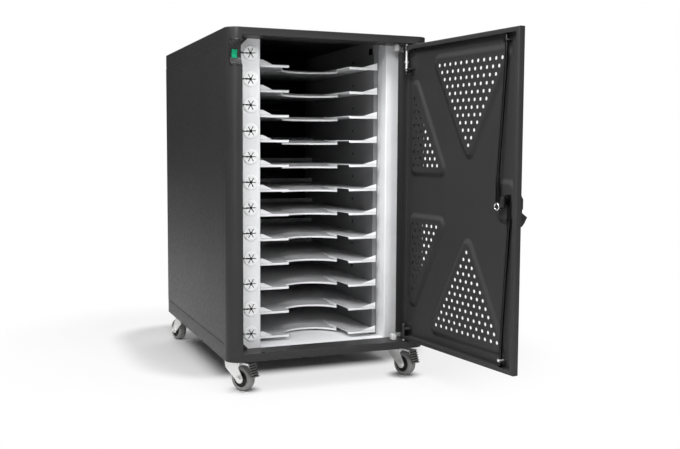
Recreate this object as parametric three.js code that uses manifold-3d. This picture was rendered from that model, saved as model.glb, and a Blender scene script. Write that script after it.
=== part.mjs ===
// Laptop charging cart on casters: a powder-coated steel cabinet with twelve device bays,
// a perforated locking door and a cable strip. Millimetres, +Z up, the door opening faces -Y.
import * as THREE from 'three';
import { mergeVertices } from 'three/addons/utils/BufferGeometryUtils.js';
import Module from 'manifold-3d';

const wasm = await Module();
wasm.setup();

// Cabinet envelope
const BODY_W = 423;
const BODY_D = 586;
const BODY_H = 640;
const FOOT = 69;
const CORNER_R = 25;
const SHEET = 1.5;
const THIN = 1.2;
const GAP = 0.3;

// Front opening, measured from the outer faces
const JAMB_L = 30.5;
const JAMB_R = 28.5;
const RAIL = 15.5;
const WRAP = 29;
const SKIRT = 32;
const CAGE = 50;

// Device bays
const BAYS = 12;
const LOW_SHELF = 28.8;
const TOP_BAY = 59;
const PITCH = (BODY_H - LOW_SHELF - TOP_BAY) / (BAYS - 1);
const BAY_L = 80;
const BAY_R = 72.5;
const SHELF_IN = 10;
const TONGUE_SET = 44;
const WING_SET = 22;
const NOTCH_L = 154;
const NOTCH_R = 273;
const RIDGE_SET = 154;
const LIP_DROP = 5;
const EDGE_H = 5.4;
const EAR_H = 9.3;

// Cable grommets
const GROMMET_IN = 60;
const GROMMET_UP = 16;
const GROMMET_R = 15;
const GROMMET_BORE = 11.5;

// Door, measured from its pivot line
const PIVOT_X = 166.5;
const DOOR_T = 13.3;
const PIVOT_SET = 11.3;
const DOOR_OPEN = 97.35;
const DOOR_GAP = 2.5;
const DOOR_BACK = 10;
const DOOR_LIP = 8.5;
const HINGE_WEB = 12;
const WEB_END = 13;
const EMBOSS = 3;
const HOLE_R = 3.5;
const HOLE_PITCH = 16.95;
const ROW_PITCH = 13.98;
const HALF_PITCH = 16.2;
const HALF_ROW = 13.35;

// Lock
const SPINDLE_U = 306;
const SPINDLE_R = 3;
const CAM_ARM = 11;
const ROD_R = 3;
const HANDLE_OUT = 37;

// Casters
const CASTER_IN = 30.5;
const CASTER_SET = 76;
const REAR_SET = 38;
const WHEEL_R = 25;
const WHEEL_W = 19;
const TRAIL = 26;
const FORK_T = 2;

const XL = -BODY_W / 2;
const XR = BODY_W / 2;
const YF = -BODY_D / 2;
const YB = BODY_D / 2;
const Z0 = FOOT;
const Z1 = FOOT + BODY_H;
const OPEN_L = XL + JAMB_L;
const OPEN_R = XR - JAMB_R;
const SILL = Z0 + RAIL;
const HEAD = Z1 - RAIL;
const BAY_X0 = XL + BAY_L;
const BAY_X1 = XR - BAY_R;
const CAGE_Y = YF + CAGE;

// A closed solid from a three.js geometry
function solid(geometry) {
  const g = geometry.clone();
  g.deleteAttribute('normal');
  g.deleteAttribute('uv');
  const m = mergeVertices(g, 1e-4);
  const position = new Float32Array(m.attributes.position.array);
  const index = new Uint32Array(m.index.array);
  return new wasm.Manifold(new wasm.Mesh({ numProp: 3, vertProperties: position, triVerts: index }));
}

function box(x0, x1, y0, y1, z0, z1) {
  const g = new THREE.BoxGeometry(x1 - x0, y1 - y0, z1 - z0);
  g.translate((x0 + x1) / 2, (y0 + y1) / 2, (z0 + z1) / 2);
  return solid(g);
}

function extruded(points, length) {
  const shape = new THREE.Shape(points.map((p) => new THREE.Vector2(p[0], p[1])));
  return new THREE.ExtrudeGeometry(shape, { depth: length, bevelEnabled: false, steps: 1 });
}

// Outline in plan (x, y), raised from z0 to z1
function prismZ(points, z0, z1) {
  return solid(extruded(points, z1 - z0).translate(0, 0, z0));
}

// Outline in elevation (x, z), drawn from y0 to y1
function prismY(points, y0, y1) {
  return solid(extruded(points, y1 - y0).rotateX(Math.PI / 2).translate(0, y1, 0));
}

// Outline in side view (y, z), drawn from x0 to x1
function prismX(points, x0, x1) {
  return solid(extruded(points, x1 - x0).rotateX(Math.PI / 2).rotateZ(Math.PI / 2).translate(x0, 0, 0));
}

function cylZ(x, y, r, z0, z1, n = 16) {
  const g = new THREE.CylinderGeometry(r, r, z1 - z0, n).rotateX(Math.PI / 2);
  return solid(g.translate(x, y, (z0 + z1) / 2));
}

function cylY(x, z, r, y0, y1, n = 16) {
  const g = new THREE.CylinderGeometry(r, r, y1 - y0, n);
  return solid(g.translate(x, (y0 + y1) / 2, z));
}

function join(...pieces) {
  return pieces.reduce((a, b) => a.add(b));
}

function cut(body, ...pieces) {
  return pieces.reduce((a, b) => a.subtract(b), body);
}

// Points on an arc, both ends included
function arc(cx, cy, r, a0, a1, n) {
  const out = [];
  for (let i = 0; i <= n; i += 1) {
    const a = a0 + ((a1 - a0) * i) / n;
    out.push([cx + r * Math.cos(a), cy + r * Math.sin(a)]);
  }
  return out;
}

// Polygon with every corner rounded
function rounded(points, r, n = 2) {
  const out = [];
  const count = points.length;
  for (let i = 0; i < count; i += 1) {
    const p = new THREE.Vector2(...points[i]);
    const a = new THREE.Vector2(...points[(i + count - 1) % count]).sub(p).normalize();
    const b = new THREE.Vector2(...points[(i + 1) % count]).sub(p).normalize();
    const half = Math.acos(Math.max(-1, Math.min(1, a.dot(b)))) / 2;
    const reach = r / Math.tan(half);
    const centre = p.clone().add(a.clone().add(b).normalize().multiplyScalar(r / Math.sin(half)));
    const s = p.clone().addScaledVector(a, reach).sub(centre);
    const e = p.clone().addScaledVector(b, reach).sub(centre);
    const a0 = Math.atan2(s.y, s.x);
    let turn = Math.atan2(e.y, e.x) - a0;
    if (turn > Math.PI) turn -= 2 * Math.PI;
    if (turn < -Math.PI) turn += 2 * Math.PI;
    out.push(...arc(centre.x, centre.y, r, a0, a0 + turn, n));
  }
  return out;
}

// Tapered block between two like outlines in (x, z), at y0 and y1
function taper(low, high, y0, y1) {
  const flat = low.map((p) => new THREE.Vector2(p[0], p[1]));
  const n = flat.length;
  const left = THREE.ShapeUtils.area(flat) > 0;
  const position = [];
  low.forEach((p) => position.push(p[0], y0, p[1]));
  high.forEach((p) => position.push(p[0], y1, p[1]));
  const index = [];
  THREE.ShapeUtils.triangulateShape(flat, []).forEach(([a, b, c]) => {
    const turn = THREE.ShapeUtils.area([flat[a], flat[b], flat[c]]) > 0;
    if (turn) index.push(a, b, c, n + a, n + c, n + b);
    else index.push(a, c, b, n + a, n + b, n + c);
  });
  for (let i = 0; i < n; i += 1) {
    const j = (i + 1) % n;
    if (left) index.push(i, n + j, j, i, n + i, n + j);
    else index.push(i, j, n + j, i, n + j, n + i);
  }
  const g = new THREE.BufferGeometry();
  g.setAttribute('position', new THREE.Float32BufferAttribute(position, 3));
  g.setIndex(index);
  return solid(g);
}

// Body of revolution about the local Y axis, from a closed profile of (radius, along)
function turned(profile, n) {
  const points = profile.concat([profile[0]]).map((p) => new THREE.Vector2(p[0], p[1]));
  const g = new THREE.LatheGeometry(points, n);
  const s = solid(g);
  return s.volume() < 0 ? solid(g.scale(1, 1, -1)) : s;
}

const cart = new THREE.Group();
cart.name = 'charging_cart';

const FINISH = {
  coat: { color: 0x3a393a, roughness: 0.55, metalness: 0.2 },
  white: { color: 0xe6e7e9, roughness: 0.5, metalness: 0.0 },
  rubber: { color: 0xeeeeee, roughness: 0.7, metalness: 0.0 },
  tyre: { color: 0x6a6a6b, roughness: 0.8, metalness: 0.0 },
  zinc: { color: 0xc4c4c6, roughness: 0.3, metalness: 0.9 },
  chrome: { color: 0xd8d8da, roughness: 0.15, metalness: 1.0 },
  black: { color: 0x141414, roughness: 0.45, metalness: 0.0 },
  grey: { color: 0xa9aaac, roughness: 0.6, metalness: 0.0 },
  lamp: { color: 0x35d05a, roughness: 0.3, metalness: 0.0 },
};

function part(name, body, finish, place = null) {
  const m = body.getMesh();
  const g = new THREE.BufferGeometry();
  const position = new Float32Array((m.vertProperties.length / m.numProp) * 3);
  for (let i = 0; i < position.length / 3; i += 1) {
    for (let k = 0; k < 3; k += 1) position[i * 3 + k] = m.vertProperties[i * m.numProp + k];
  }
  g.setAttribute('position', new THREE.BufferAttribute(position, 3));
  g.setIndex(new THREE.BufferAttribute(new Uint32Array(m.triVerts), 1));
  if (place) place(g);
  g.computeVertexNormals();
  const mesh = new THREE.Mesh(g, new THREE.MeshStandardMaterial(FINISH[finish]));
  mesh.name = name;
  cart.add(mesh);
}

// Front frame: one formed ring with rounded corner posts and a deep return round the opening
function frontOutline(inset) {
  const r = CORNER_R - inset;
  const left = arc(XL + CORNER_R, YF + CORNER_R, r, Math.PI, 1.5 * Math.PI, 6);
  const right = arc(XR - CORNER_R, YF + CORNER_R, r, 1.5 * Math.PI, 2 * Math.PI, 6);
  const back = YF + WRAP + inset;
  return [[XL + inset, back], ...left, ...right, [XR - inset, back]];
}
const rodX = PIVOT_X - SPINDLE_U;
const rodSet = 3.5;
const rodY = YF + PIVOT_SET - rodSet;
const SWITCH_Z0 = Z1 - 74;
const SWITCH_Z1 = Z1 - 22;
const SWITCH_X0 = XL + 5.5;
const SWITCH_SET = 15;
const opening = box(OPEN_L, OPEN_R, YF - 5, CAGE_Y + 5, SILL, HEAD);
const returns = cut(
  box(OPEN_L - SHEET, OPEN_R + SHEET, YF + 0.4, CAGE_Y - GAP - 0.2, SILL - SHEET, HEAD + SHEET),
  opening,
);
const BRACE = 13;
const braces = [
  [[OPEN_L - 0.5, HEAD + 0.5], [OPEN_L + BRACE, HEAD + 0.5], [OPEN_L - 0.5, HEAD - BRACE]],
  [[OPEN_L - 0.5, SILL - 0.5], [OPEN_L + BRACE, SILL - 0.5], [OPEN_L - 0.5, SILL + BRACE]],
].map((p) => prismY(p, CAGE_Y - 3, CAGE_Y - GAP - 0.2));
const frameShell = cut(
  prismZ(frontOutline(0), Z0, Z1),
  prismZ(frontOutline(SHEET), Z0 + SHEET, Z1 - SHEET),
  opening,
);
part('front_frame', cut(
  join(frameShell, returns, ...braces),
  box(SWITCH_X0, OPEN_L + 0.1, YF - 1, YF + SWITCH_SET, SWITCH_Z0, SWITCH_Z1),
  cylZ(rodX, rodY, ROD_R + 1.5, SILL - 3, HEAD + 3, 12),
  cylZ(PIVOT_X, YF + PIVOT_SET, 2.9, SILL - 3, HEAD + 3, 12),
), 'coat');

// Base pan: flat floor with a skirt on three sides, carrying the casters
const BASE_Z = Z0 + 6;
const bodyY0 = YF + WRAP + GAP;
part('base_pan', cut(
  box(XL, XR, bodyY0, YB, Z0, Z0 + SKIRT),
  box(XL + SHEET, XR - SHEET, bodyY0 - 1, YB - SHEET, BASE_Z + SHEET, Z1),
  box(XL + SHEET, XR - SHEET, bodyY0 - 1, YB - SHEET, Z0 - 1, BASE_Z),
), 'coat');

// Top cover: folded lid with a skirt on three sides
part('top_cover', cut(
  box(XL, XR, bodyY0, YB, Z1 - SKIRT, Z1),
  box(XL + SHEET, XR - SHEET, bodyY0 - 1, YB - SHEET, Z1 - SKIRT - 1, Z1 - SHEET),
), 'coat');

// Side panels: flat sheets with folded front and rear edges
const panelZ0 = Z0 + SKIRT + GAP;
const panelZ1 = Z1 - SKIRT - GAP;
const FOLD = 18;
function sidePanel(side) {
  const outline = [
    [0, bodyY0], [FOLD, bodyY0], [FOLD, bodyY0 + THIN], [THIN, bodyY0 + THIN],
    [THIN, YB - THIN], [FOLD, YB - THIN], [FOLD, YB], [0, YB],
  ];
  return prismZ(outline.map((p) => [side * (XR - p[0]), p[1]]), panelZ0, panelZ1);
}
part('side_panel_left', sidePanel(-1), 'coat');
part('side_panel_right', sidePanel(1), 'coat');

// Back panel: drops between the side folds, with two banks of cooling slots and the inlet cut-out
const backX = XR - FOLD - GAP;
const backY0 = YB - THIN;
const INLET_Z = Z0 + 75;
const INLET_X = XL + 70;
const INLET_W = 27;
const INLET_H = 20;
const [inletX0, inletX1] = [INLET_X - INLET_W / 2, INLET_X + INLET_W / 2];
const [inletZ0, inletZ1] = [INLET_Z - INLET_H / 2, INLET_Z + INLET_H / 2];
const SLOT_HALF = 95;
const SLOT_UP = 300;
const SLOT_PITCH = 18;
const BANK_PITCH = 190;
const slots = [];
for (let bank = 0; bank < 2; bank += 1) {
  for (let i = 0; i < 6; i += 1) {
    const z = Z0 + SLOT_UP + bank * BANK_PITCH + i * SLOT_PITCH;
    slots.push(box(-SLOT_HALF, SLOT_HALF, backY0 - 1, YB + 1, z - 3, z + 3));
  }
}
part('back_panel', cut(
  box(-backX, backX, backY0, YB, panelZ0, panelZ1),
  ...slots,
  box(inletX0, inletX1, backY0 - 1, YB + 1, inletZ0, inletZ1),
), 'coat');

// Mains inlet: flanged socket with three blades behind the back panel
const inletIn = 1;
part('mains_inlet', join(
  cut(
    join(
      box(inletX0 - 4, inletX1 + 4, YB + GAP, YB + GAP + 2.5, inletZ0 - 3, inletZ1 + 3),
      box(inletX0 + inletIn, inletX1 - inletIn, YB - 24, YB + GAP + 1, inletZ0 + inletIn, inletZ1 - inletIn),
    ),
    box(INLET_X - 11, INLET_X + 11, YB - 16, YB + 5, INLET_Z - 7.5, INLET_Z + 7.5),
  ),
  ...[[-7, -2], [0, 2], [7, -2]].map(([x, z]) => box(INLET_X + x - 1, INLET_X + x + 1, YB - 16.5, YB - 5,
    INLET_Z + z - 2.5, INLET_Z + z + 2.5)),
), 'black');

// Bay floor: white bench plate level with the door sill
const cageY1 = YB - 70;
const RETURN = 40;
const wallY0 = CAGE_Y + RETURN + GAP;
const shelfX0 = BAY_X0 + GAP;
const shelfX1 = BAY_X1 - SHELF_IN;
const rightWallX = shelfX1 + GAP;
part('bay_floor', join(
  box(BAY_X0, shelfX1, CAGE_Y, cageY1, SILL - SHEET, SILL),
  box(BAY_X0, BAY_X1, CAGE_Y, wallY0 - GAP, SILL - SHEET, SILL),
  box(BAY_X0, BAY_X1, CAGE_Y, CAGE_Y + SHEET, BASE_Z + SHEET + GAP, SILL),
  box(BAY_X0, shelfX1, cageY1 - SHEET, cageY1, BASE_Z + SHEET + GAP, SILL),
), 'white');

// Cable strip: white upright with twelve keyhole openings for the grommets
const stripZ0 = SILL - 6;
const stripZ1 = HEAD + 6;
const stripX0 = OPEN_L + GAP;
const stripX1 = BAY_X0;
const shelfZ = (i) => Z0 + LOW_SHELF + PITCH * i;
const gromX = XL + GROMMET_IN;
const gromZ = (i) => shelfZ(i) + GROMMET_UP;
const keyholes = [];
for (let i = 0; i < BAYS; i += 1) {
  keyholes.push(cylY(gromX, gromZ(i), GROMMET_BORE + GAP, CAGE_Y - 1, CAGE_Y + SHEET + 1, 10));
  keyholes.push(box(stripX0 - 1, gromX, CAGE_Y - 1, CAGE_Y + SHEET + 1, gromZ(i) - 1.6, gromZ(i) + 1.6));
}
part('cable_strip', cut(
  join(
    box(stripX0, stripX1 - GAP, CAGE_Y, CAGE_Y + SHEET, stripZ0, stripZ1),
    box(stripX1 - GAP - SHEET, stripX1 - GAP, CAGE_Y, CAGE_Y + RETURN, stripZ0, stripZ1),
  ),
  ...keyholes,
), 'white');

// Grommets: soft flanged discs slit into six fingers, one slit open to the side for the plug lead
function star(i) {
  const points = [];
  const arms = 6;
  for (let k = 0; k < arms; k += 1) {
    const a = Math.PI + (k * 2 * Math.PI) / arms + (k ? 0 : 0.05 * ((i % 3) - 1));
    const long = k ? GROMMET_BORE * 0.8 : GROMMET_R + 2;
    const half = k ? 0.35 : 0.9;
    const d = [Math.cos(a), Math.sin(a)];
    points.push([d[0] * long + d[1] * half, d[1] * long - d[0] * half]);
    points.push([d[0] * long - d[1] * half, d[1] * long + d[0] * half]);
    points.push([1.5 * Math.cos(a + Math.PI / arms), 1.5 * Math.sin(a + Math.PI / arms)]);
  }
  return points;
}
for (let i = 0; i < BAYS; i += 1) {
  const z = gromZ(i);
  const disc = join(
    cylY(gromX, z, GROMMET_R, CAGE_Y - GAP - 1.8, CAGE_Y - GAP, 14),
    cylY(gromX, z, GROMMET_BORE, CAGE_Y - GAP - 0.5, CAGE_Y + SHEET + 2, 10),
  );
  const slit = prismY(star(i).map((p) => [gromX + p[0], z + p[1]]), CAGE_Y - 5, CAGE_Y + 9);
  part(`grommet_${String(BAYS - i).padStart(2, '0')}`, disc.subtract(slit), 'rubber');
}

// Right post: white upright closing the other side of the bays
const postX1 = OPEN_R - GAP;
part('bay_post', join(
  box(BAY_X1 + GAP, postX1, CAGE_Y, CAGE_Y + SHEET, stripZ0, stripZ1),
  box(BAY_X1 + GAP, BAY_X1 + GAP + SHEET, CAGE_Y, CAGE_Y + RETURN, stripZ0, stripZ1),
), 'white');

// Inner walls: dark sheets that carry the shelves; the right one has a latch window and hook slots
const wallZ0 = BASE_Z + SHEET + GAP;
const wallZ1 = Z1 - SHEET - GAP;
const leftWallX = BAY_X0 - GAP - SHEET - GAP;
part('cable_wall', cut(
  box(leftWallX - THIN, leftWallX, CAGE_Y + SHEET + GAP, cageY1, wallZ0, wallZ1),
  box(leftWallX - 3, leftWallX + 2, cageY1 - 70, cageY1 - 40, shelfZ(0) + 8, shelfZ(BAYS - 1) + 30),
), 'coat');

const HOOK_SET = 148;
const HOOK_L = 10;
const hookY = CAGE_Y + HOOK_SET;
const hooks = [];
for (let i = 0; i < BAYS; i += 1) {
  const z = shelfZ(i) + 19;
  hooks.push(box(rightWallX - 1, rightWallX + THIN + 1, hookY, hookY + HOOK_L, z, z + 5));
}
part('shelf_wall', cut(
  join(
    box(rightWallX, rightWallX + THIN, wallY0, cageY1, wallZ0, wallZ1),
    box(rightWallX, BAY_X1 + GAP + SHEET, wallY0, wallY0 + THIN, wallZ0, wallZ1),
  ),
  box(rightWallX - 1, rightWallX + THIN + 1, wallY0 + 8, wallY0 + 28, HEAD - 14, HEAD - 1),
  ...hooks,
), 'coat');

// Shelves: folded trays with a left tongue, a right wing and a finger notch with a dropped, arched lip
const notchX0 = XL + NOTCH_L;
const notchX1 = XL + NOTCH_R;
const tongueY = CAGE_Y + TONGUE_SET;
const wingY = CAGE_Y + WING_SET;
const ridgeY = CAGE_Y + RIDGE_SET;
const shelfY1 = cageY1 - 50;
const lipY = ridgeY - 32;
const archX = (notchX0 + notchX1) / 2;
const archHalf = (notchX1 - notchX0) / 2 - 1;
const archRise = 33;
const archR = (archHalf * archHalf + archRise * archRise) / (2 * archRise);
const archA = Math.asin(archHalf / archR);
const archCy = lipY - archR;
const archFront = lipY - 3 * archRise;
function archLine(r) {
  return arc(archX, archCy, r, Math.PI / 2 + archA, Math.PI / 2 - archA, 6);
}
function shelf(top) {
  const floor = prismZ([
    [shelfX0, tongueY], [notchX0, tongueY], [notchX0, ridgeY], [notchX1, ridgeY],
    [notchX1 + 5, wingY], [shelfX1, wingY], [shelfX1, shelfY1], [shelfX0, shelfY1],
  ], top - THIN, top);
  const tab = prismX([
    [ridgeY + 1, top - THIN], [ridgeY + 1, top], [ridgeY, top], [lipY + 2, top - LIP_DROP],
    [lipY - archRise - 8, top - LIP_DROP], [lipY - archRise - 8, top - LIP_DROP - THIN],
    [lipY + 2, top - LIP_DROP - THIN], [ridgeY, top - THIN],
  ], archX - archHalf, archX + archHalf);
  const line = archLine(archR);
  const front = prismZ(
    [[archX - archHalf - 5, archFront], [archX - archHalf - 5, line[0][1]], ...line,
      [archX + archHalf + 5, line[line.length - 1][1]], [archX + archHalf + 5, archFront]],
    top - 30,
    top + 30,
  );
  const behind = archLine(archR + THIN).reverse();
  const band = prismZ([...line, ...behind], top - LIP_DROP - EDGE_H + 1, top - LIP_DROP);
  const tongue = prismY([
    [shelfX0, top - EDGE_H], [notchX0, top - EDGE_H], [notchX0, top], [shelfX0 + 38, top],
    [shelfX0 + 18, top + EAR_H], [shelfX0, top + EAR_H],
  ], tongueY, tongueY + THIN);
  const wing = prismY([
    [notchX1 + 5, top - EDGE_H], [shelfX1, top - EDGE_H], [shelfX1, top + EAR_H], [shelfX1 - 32, top],
    [notchX1 + 5, top],
  ], wingY, wingY + THIN);
  const stop = box(shelfX0, shelfX1, shelfY1 - THIN, shelfY1, top - THIN, top + 9);
  return join(floor, tab.subtract(front), band, tongue, wing, stop);
}
for (let i = 0; i < BAYS; i += 1) {
  part(`shelf_${String(BAYS - i).padStart(2, '0')}`, shelf(shelfZ(i)), 'white');
}

// Power strip: upright outlet bar in the side compartment, one outlet for every bay
const barX1 = leftWallX - THIN - GAP;
const barX0 = barX1 - 40;
const BAR_SET = 150;
const BAR_D = 55;
const barY0 = cageY1 - BAR_SET;
const barY1 = barY0 + BAR_D;
const outlets = [];
for (let i = 0; i < BAYS; i += 1) {
  const z = shelfZ(i) + 16;
  const pad = [[-13, -5], [-8, -11], [8, -11], [13, -5], [13, 11], [-13, 11]];
  outlets.push(prismX(pad.map((p) => [barY0 + BAR_D / 2 + p[0], z + p[1]]), barX0 - 1.5, barX0 + 1));
}
const bar = box(barX0, barX1, barY0, barY1, Z0 + 20, shelfZ(BAYS - 1) + 42);
part('power_strip', join(bar, ...outlets), 'black');

// Switch pocket in the left post: scooped plastic insert holding a lit rocker
const swX0 = SWITCH_X0 + GAP;
const swX1 = OPEN_L - GAP;
const swZ0 = SWITCH_Z0 + GAP;
const swZ1 = SWITCH_Z1 - GAP;
const swY1 = YF + SWITCH_SET - GAP;
const swFloor = YF + 11.5;
const rockX = (swX0 + 2 + swX1) / 2 - 2;
const rockZ = Z1 - 50;
const ROCK_W = 10.5;
const ROCK_H = 17;
const rockCut = [ROCK_W / 2 + 0.6, ROCK_H / 2 + 0.6];
const pocketOutline = box(swX0, swX1, YF, swY1, swZ0, swZ1);
part('switch_pocket', cut(
  pocketOutline.intersect(prismZ(frontOutline(0.2), swZ0 - 1, swZ1 + 1)),
  prismX([
    [YF - 30, swZ0 + 2], [YF + 2, swZ0 + 2], [YF + 6, swZ0 + 5], [YF + 9, swZ0 + 10],
    [swFloor - 1, swZ0 + 15],
    [swFloor, swZ0 + 20], [swFloor, swZ1 - 2], [YF - 30, swZ1 - 2],
  ], swX0 + 2, swX1 + 5),
  box(rockX - rockCut[0], rockX + rockCut[0], YF, YF + 40, rockZ - rockCut[1], rockZ + rockCut[1]),
), 'black');
part('switch_rocker', prismX([
  [swFloor + 3, rockZ - ROCK_H / 2 + 1], [swFloor - 1.2, rockZ - ROCK_H / 2 + 0.5], [swFloor - 1.0, rockZ],
  [swFloor - 3.2, rockZ + ROCK_H / 2 - 0.7], [swFloor + 3, rockZ + ROCK_H / 2 - 1.2],
], rockX - ROCK_W / 2, rockX + ROCK_W / 2), 'lamp');

// Door stops: small moulded buffers under the head rail and on the sill
const STOP_X = 148;
const stopY0 = YF + DOOR_T + 3;
part('stop_top', box(STOP_X - 4.5, STOP_X + 4.5, stopY0, stopY0 + 14, HEAD - 12, HEAD - GAP), 'grey');
part('stop_bottom', box(STOP_X - 4.5, STOP_X + 4.5, stopY0, stopY0 + 14, SILL + GAP, SILL + 12), 'grey');

// Everything on the door is drawn about the pivot line: x along the door, y outwards, z up
const swing = THREE.MathUtils.degToRad(DOOR_OPEN - 180);
const onDoor = (g) => g.rotateZ(swing).translate(PIVOT_X, YF + PIVOT_SET, 0);
const doorU1 = PIVOT_X - OPEN_L - DOOR_GAP;
const doorZ0 = SILL + DOOR_GAP;
const doorZ1 = HEAD - DOOR_GAP;
const midZ = (doorZ0 + doorZ1) / 2;
const outY = PIVOT_SET;
const lipInY = PIVOT_SET - DOOR_T;
const skinY = outY - THIN;

// Hole rows: full triangles rows of twelve down to one, half triangles beside the hinge
const holes = [];
const BIG_ROW = 254;
const BIG_U = 104.5;
const ROWS = 12;
for (let r = 0; r < ROWS; r += 1) {
  for (let c = 0; c < ROWS - r; c += 1) {
    const u = BIG_U + HOLE_PITCH * (c + r / 2);
    const v = BIG_ROW - ROW_PITCH * r;
    holes.push([u, midZ + v], [u, midZ - v]);
  }
}
const HALF_U = 19.2;
const HALF_V = 60.3;
const HALF_ROWS = 11;
for (let r = 0; r < HALF_ROWS; r += 1) {
  const count = Math.floor((12 - r) / 2);
  for (let c = 0; c < count; c += 1) {
    const u = HALF_U + HALF_PITCH * (c + (r % 2) / 2);
    const v = HALF_V + HALF_ROW * r;
    holes.push([u, midZ + v], [u, midZ - v]);
  }
}
const bigTip = BIG_U + HOLE_PITCH * 5.5;
const bigTriangle = [[BIG_U - 30, BIG_ROW + 20], [bigTip * 2 - BIG_U + 30, BIG_ROW + 20], [bigTip, 62]];
const halfTriangle = [[6, HALF_V - 20], [HALF_U + HALF_PITCH * 5 + 34, HALF_V - 20], [6, HALF_V + 212]];
const flip = (points) => points.map((p) => [p[0], -p[1]]).reverse();
const embossed = [bigTriangle, flip(bigTriangle), halfTriangle, flip(halfTriangle)];
const dish = [[SPINDLE_U - 22, -36], [SPINDLE_U + 22, -36], [SPINDLE_U + 22, 38], [SPINDLE_U - 22, 38]];
embossed.push(dish);
function shrink(points, by) {
  const cx = points.reduce((s, p) => s + p[0], 0) / points.length;
  const cz = points.reduce((s, p) => s + p[1], 0) / points.length;
  return points.map((p) => {
    const d = Math.hypot(p[0] - cx, p[1] - cz);
    return [p[0] - ((p[0] - cx) * by) / d, p[1] - ((p[1] - cz) * by) / d];
  });
}
const lift = (points) => points.map((p) => [p[0], p[1] + midZ]);
const FOOT_R = 9;
const raised = embossed.map((p) => taper(
  lift(rounded(shrink(p, 7), FOOT_R)),
  lift(rounded(p, FOOT_R)),
  skinY - EMBOSS,
  skinY + 0.4,
));
const sunk = embossed.map((p) => taper(
  lift(rounded(shrink(p, 7 + THIN), FOOT_R)),
  lift(rounded(shrink(p, THIN), FOOT_R)),
  outY - EMBOSS,
  outY + 0.4,
));
const hexHoles = holes.map(([u, v]) => cylY(u, v, HOLE_R, skinY - EMBOSS - 1, outY + 1, 5));
const pan = cut(
  box(-DOOR_BACK, doorU1, lipInY, outY, doorZ0, doorZ1),
  box(-DOOR_BACK + SHEET, doorU1 - SHEET, lipInY + SHEET, skinY, doorZ0 + SHEET, doorZ1 - SHEET),
  box(
    -DOOR_BACK - 1, doorU1 - DOOR_LIP,
    lipInY - 1, lipInY + SHEET + 0.1,
    doorZ0 + DOOR_LIP, doorZ1 - DOOR_LIP,
  ),
);
const hingeWeb = box(
  -DOOR_BACK, -DOOR_BACK + SHEET,
  lipInY - HINGE_WEB, lipInY + 3,
  doorZ0 + WEB_END, doorZ1 - WEB_END,
);
const PIN_R = 2.5;
const PIN_LEN = 52;
const tabX1 = 17;
const pinTabs = [doorZ1 - 9, doorZ1 - PIN_LEN + 4].map((z) => (
  box(-6, tabX1, lipInY - 2.5, skinY + 0.4, z - 1, z + 1)
));
const guideV = [doorZ1 - 20, doorZ0 + 20];
const guides = guideV.map((z) => (
  box(SPINDLE_U - 9, SPINDLE_U + 9, rodSet - 5.5, skinY + 0.4, z - 1.2, z + 1.2)
));
const rodBores = [
  cylZ(SPINDLE_U, rodSet, ROD_R + 0.5, doorZ0 - 5, doorZ0 + 30, 12),
  cylZ(SPINDLE_U, rodSet, ROD_R + 0.5, doorZ1 - 30, doorZ1 + 5, 12),
];
const pinBores = [
  cylZ(0, 0, PIN_R + GAP, doorZ1 - PIN_LEN - 12, doorZ1 + 5, 12),
  cylZ(0, 0, PIN_R + GAP, doorZ0 - 5, doorZ0 + 40, 12),
];
const lowTab = box(-6, tabX1, lipInY - 2.5, skinY + 0.4, doorZ0 + 23, doorZ0 + 25);
part('door_panel', cut(
  cut(join(pan, hingeWeb, ...raised, ...pinTabs, lowTab, ...guides), ...sunk),
  ...hexHoles,
  ...rodBores,
  ...pinBores,
  cylY(SPINDLE_U, midZ, SPINDLE_R + 1, skinY - EMBOSS - 1, outY + 1, 10),
), 'coat', onDoor);

// Hinge pins: the upper one is a sprung plunger with a bent finger grip, the lower one is fixed
const pinTop = HEAD + 4;
const pinLow = doorZ1 - PIN_LEN - 4;
part('hinge_pin_top', join(
  cylZ(0, 0, PIN_R, pinLow - 5, pinTop, 12),
  box(-PIN_R * 0.7, 15, -PIN_R * 0.7, PIN_R * 0.7, pinLow - 5, pinLow - 1.5),
  cylZ(0, 0, PIN_R + 1.6, pinLow + 21, pinLow + 24, 10),
), 'zinc', onDoor);
part('hinge_pin_bottom', join(
  cylZ(0, 0, PIN_R, SILL - 4, doorZ0 + 32, 12),
  cylZ(0, 0, PIN_R + 1.6, doorZ0 + 25.3, doorZ0 + 28, 12),
), 'zinc', onDoor);

// Lock housing: shield plate on the outside of the door round the spindle
const houseY0 = outY + GAP;
const houseY1 = houseY0 + 7;
const shield = (w, z0, z1) => (
  [[SPINDLE_U - w, z0], [SPINDLE_U + w, z0], [SPINDLE_U + w, z1], [SPINDLE_U - w, z1]]
);
const house = rounded(shield(17, -36, 24), 8, 3);
const houseIn = rounded(shield(14, -33, 21), 6, 3);
part('lock_housing', cut(
  taper(lift(house), lift(houseIn), houseY0, houseY1),
  cylY(SPINDLE_U, midZ, SPINDLE_R + GAP, houseY0 - 1, houseY1 + 1, 10),
), 'black', onDoor);

// Lock handle: lever with a flared lower end, its spindle passing through the door to the cam
const leverY0 = houseY1 + GAP;
const leverY1 = outY + HANDLE_OUT;
const camY0 = 1.8;
const camY1 = 4.2;
const lever = prismX([
  [leverY0, midZ + 13], [leverY0, midZ - 14], [leverY0 + 8, midZ - 28], [leverY0 + 10, midZ - 44],
  [leverY1 - 12, midZ - 44], [leverY1 - 6.5, midZ - 38], [leverY1, midZ - 27], [leverY1 - 12, midZ - 19],
  [leverY1 - 12, midZ - 14], [leverY1 - 10, midZ - 12], [leverY1 - 10, midZ + 5], [leverY1 - 15, midZ + 13],
], SPINDLE_U - 12, SPINDLE_U + 12);
part('lock_handle', join(
  lever,
  cylY(SPINDLE_U, midZ, SPINDLE_R, camY0 - 4, leverY0 + 2, 10),
), 'black', onDoor);

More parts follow.
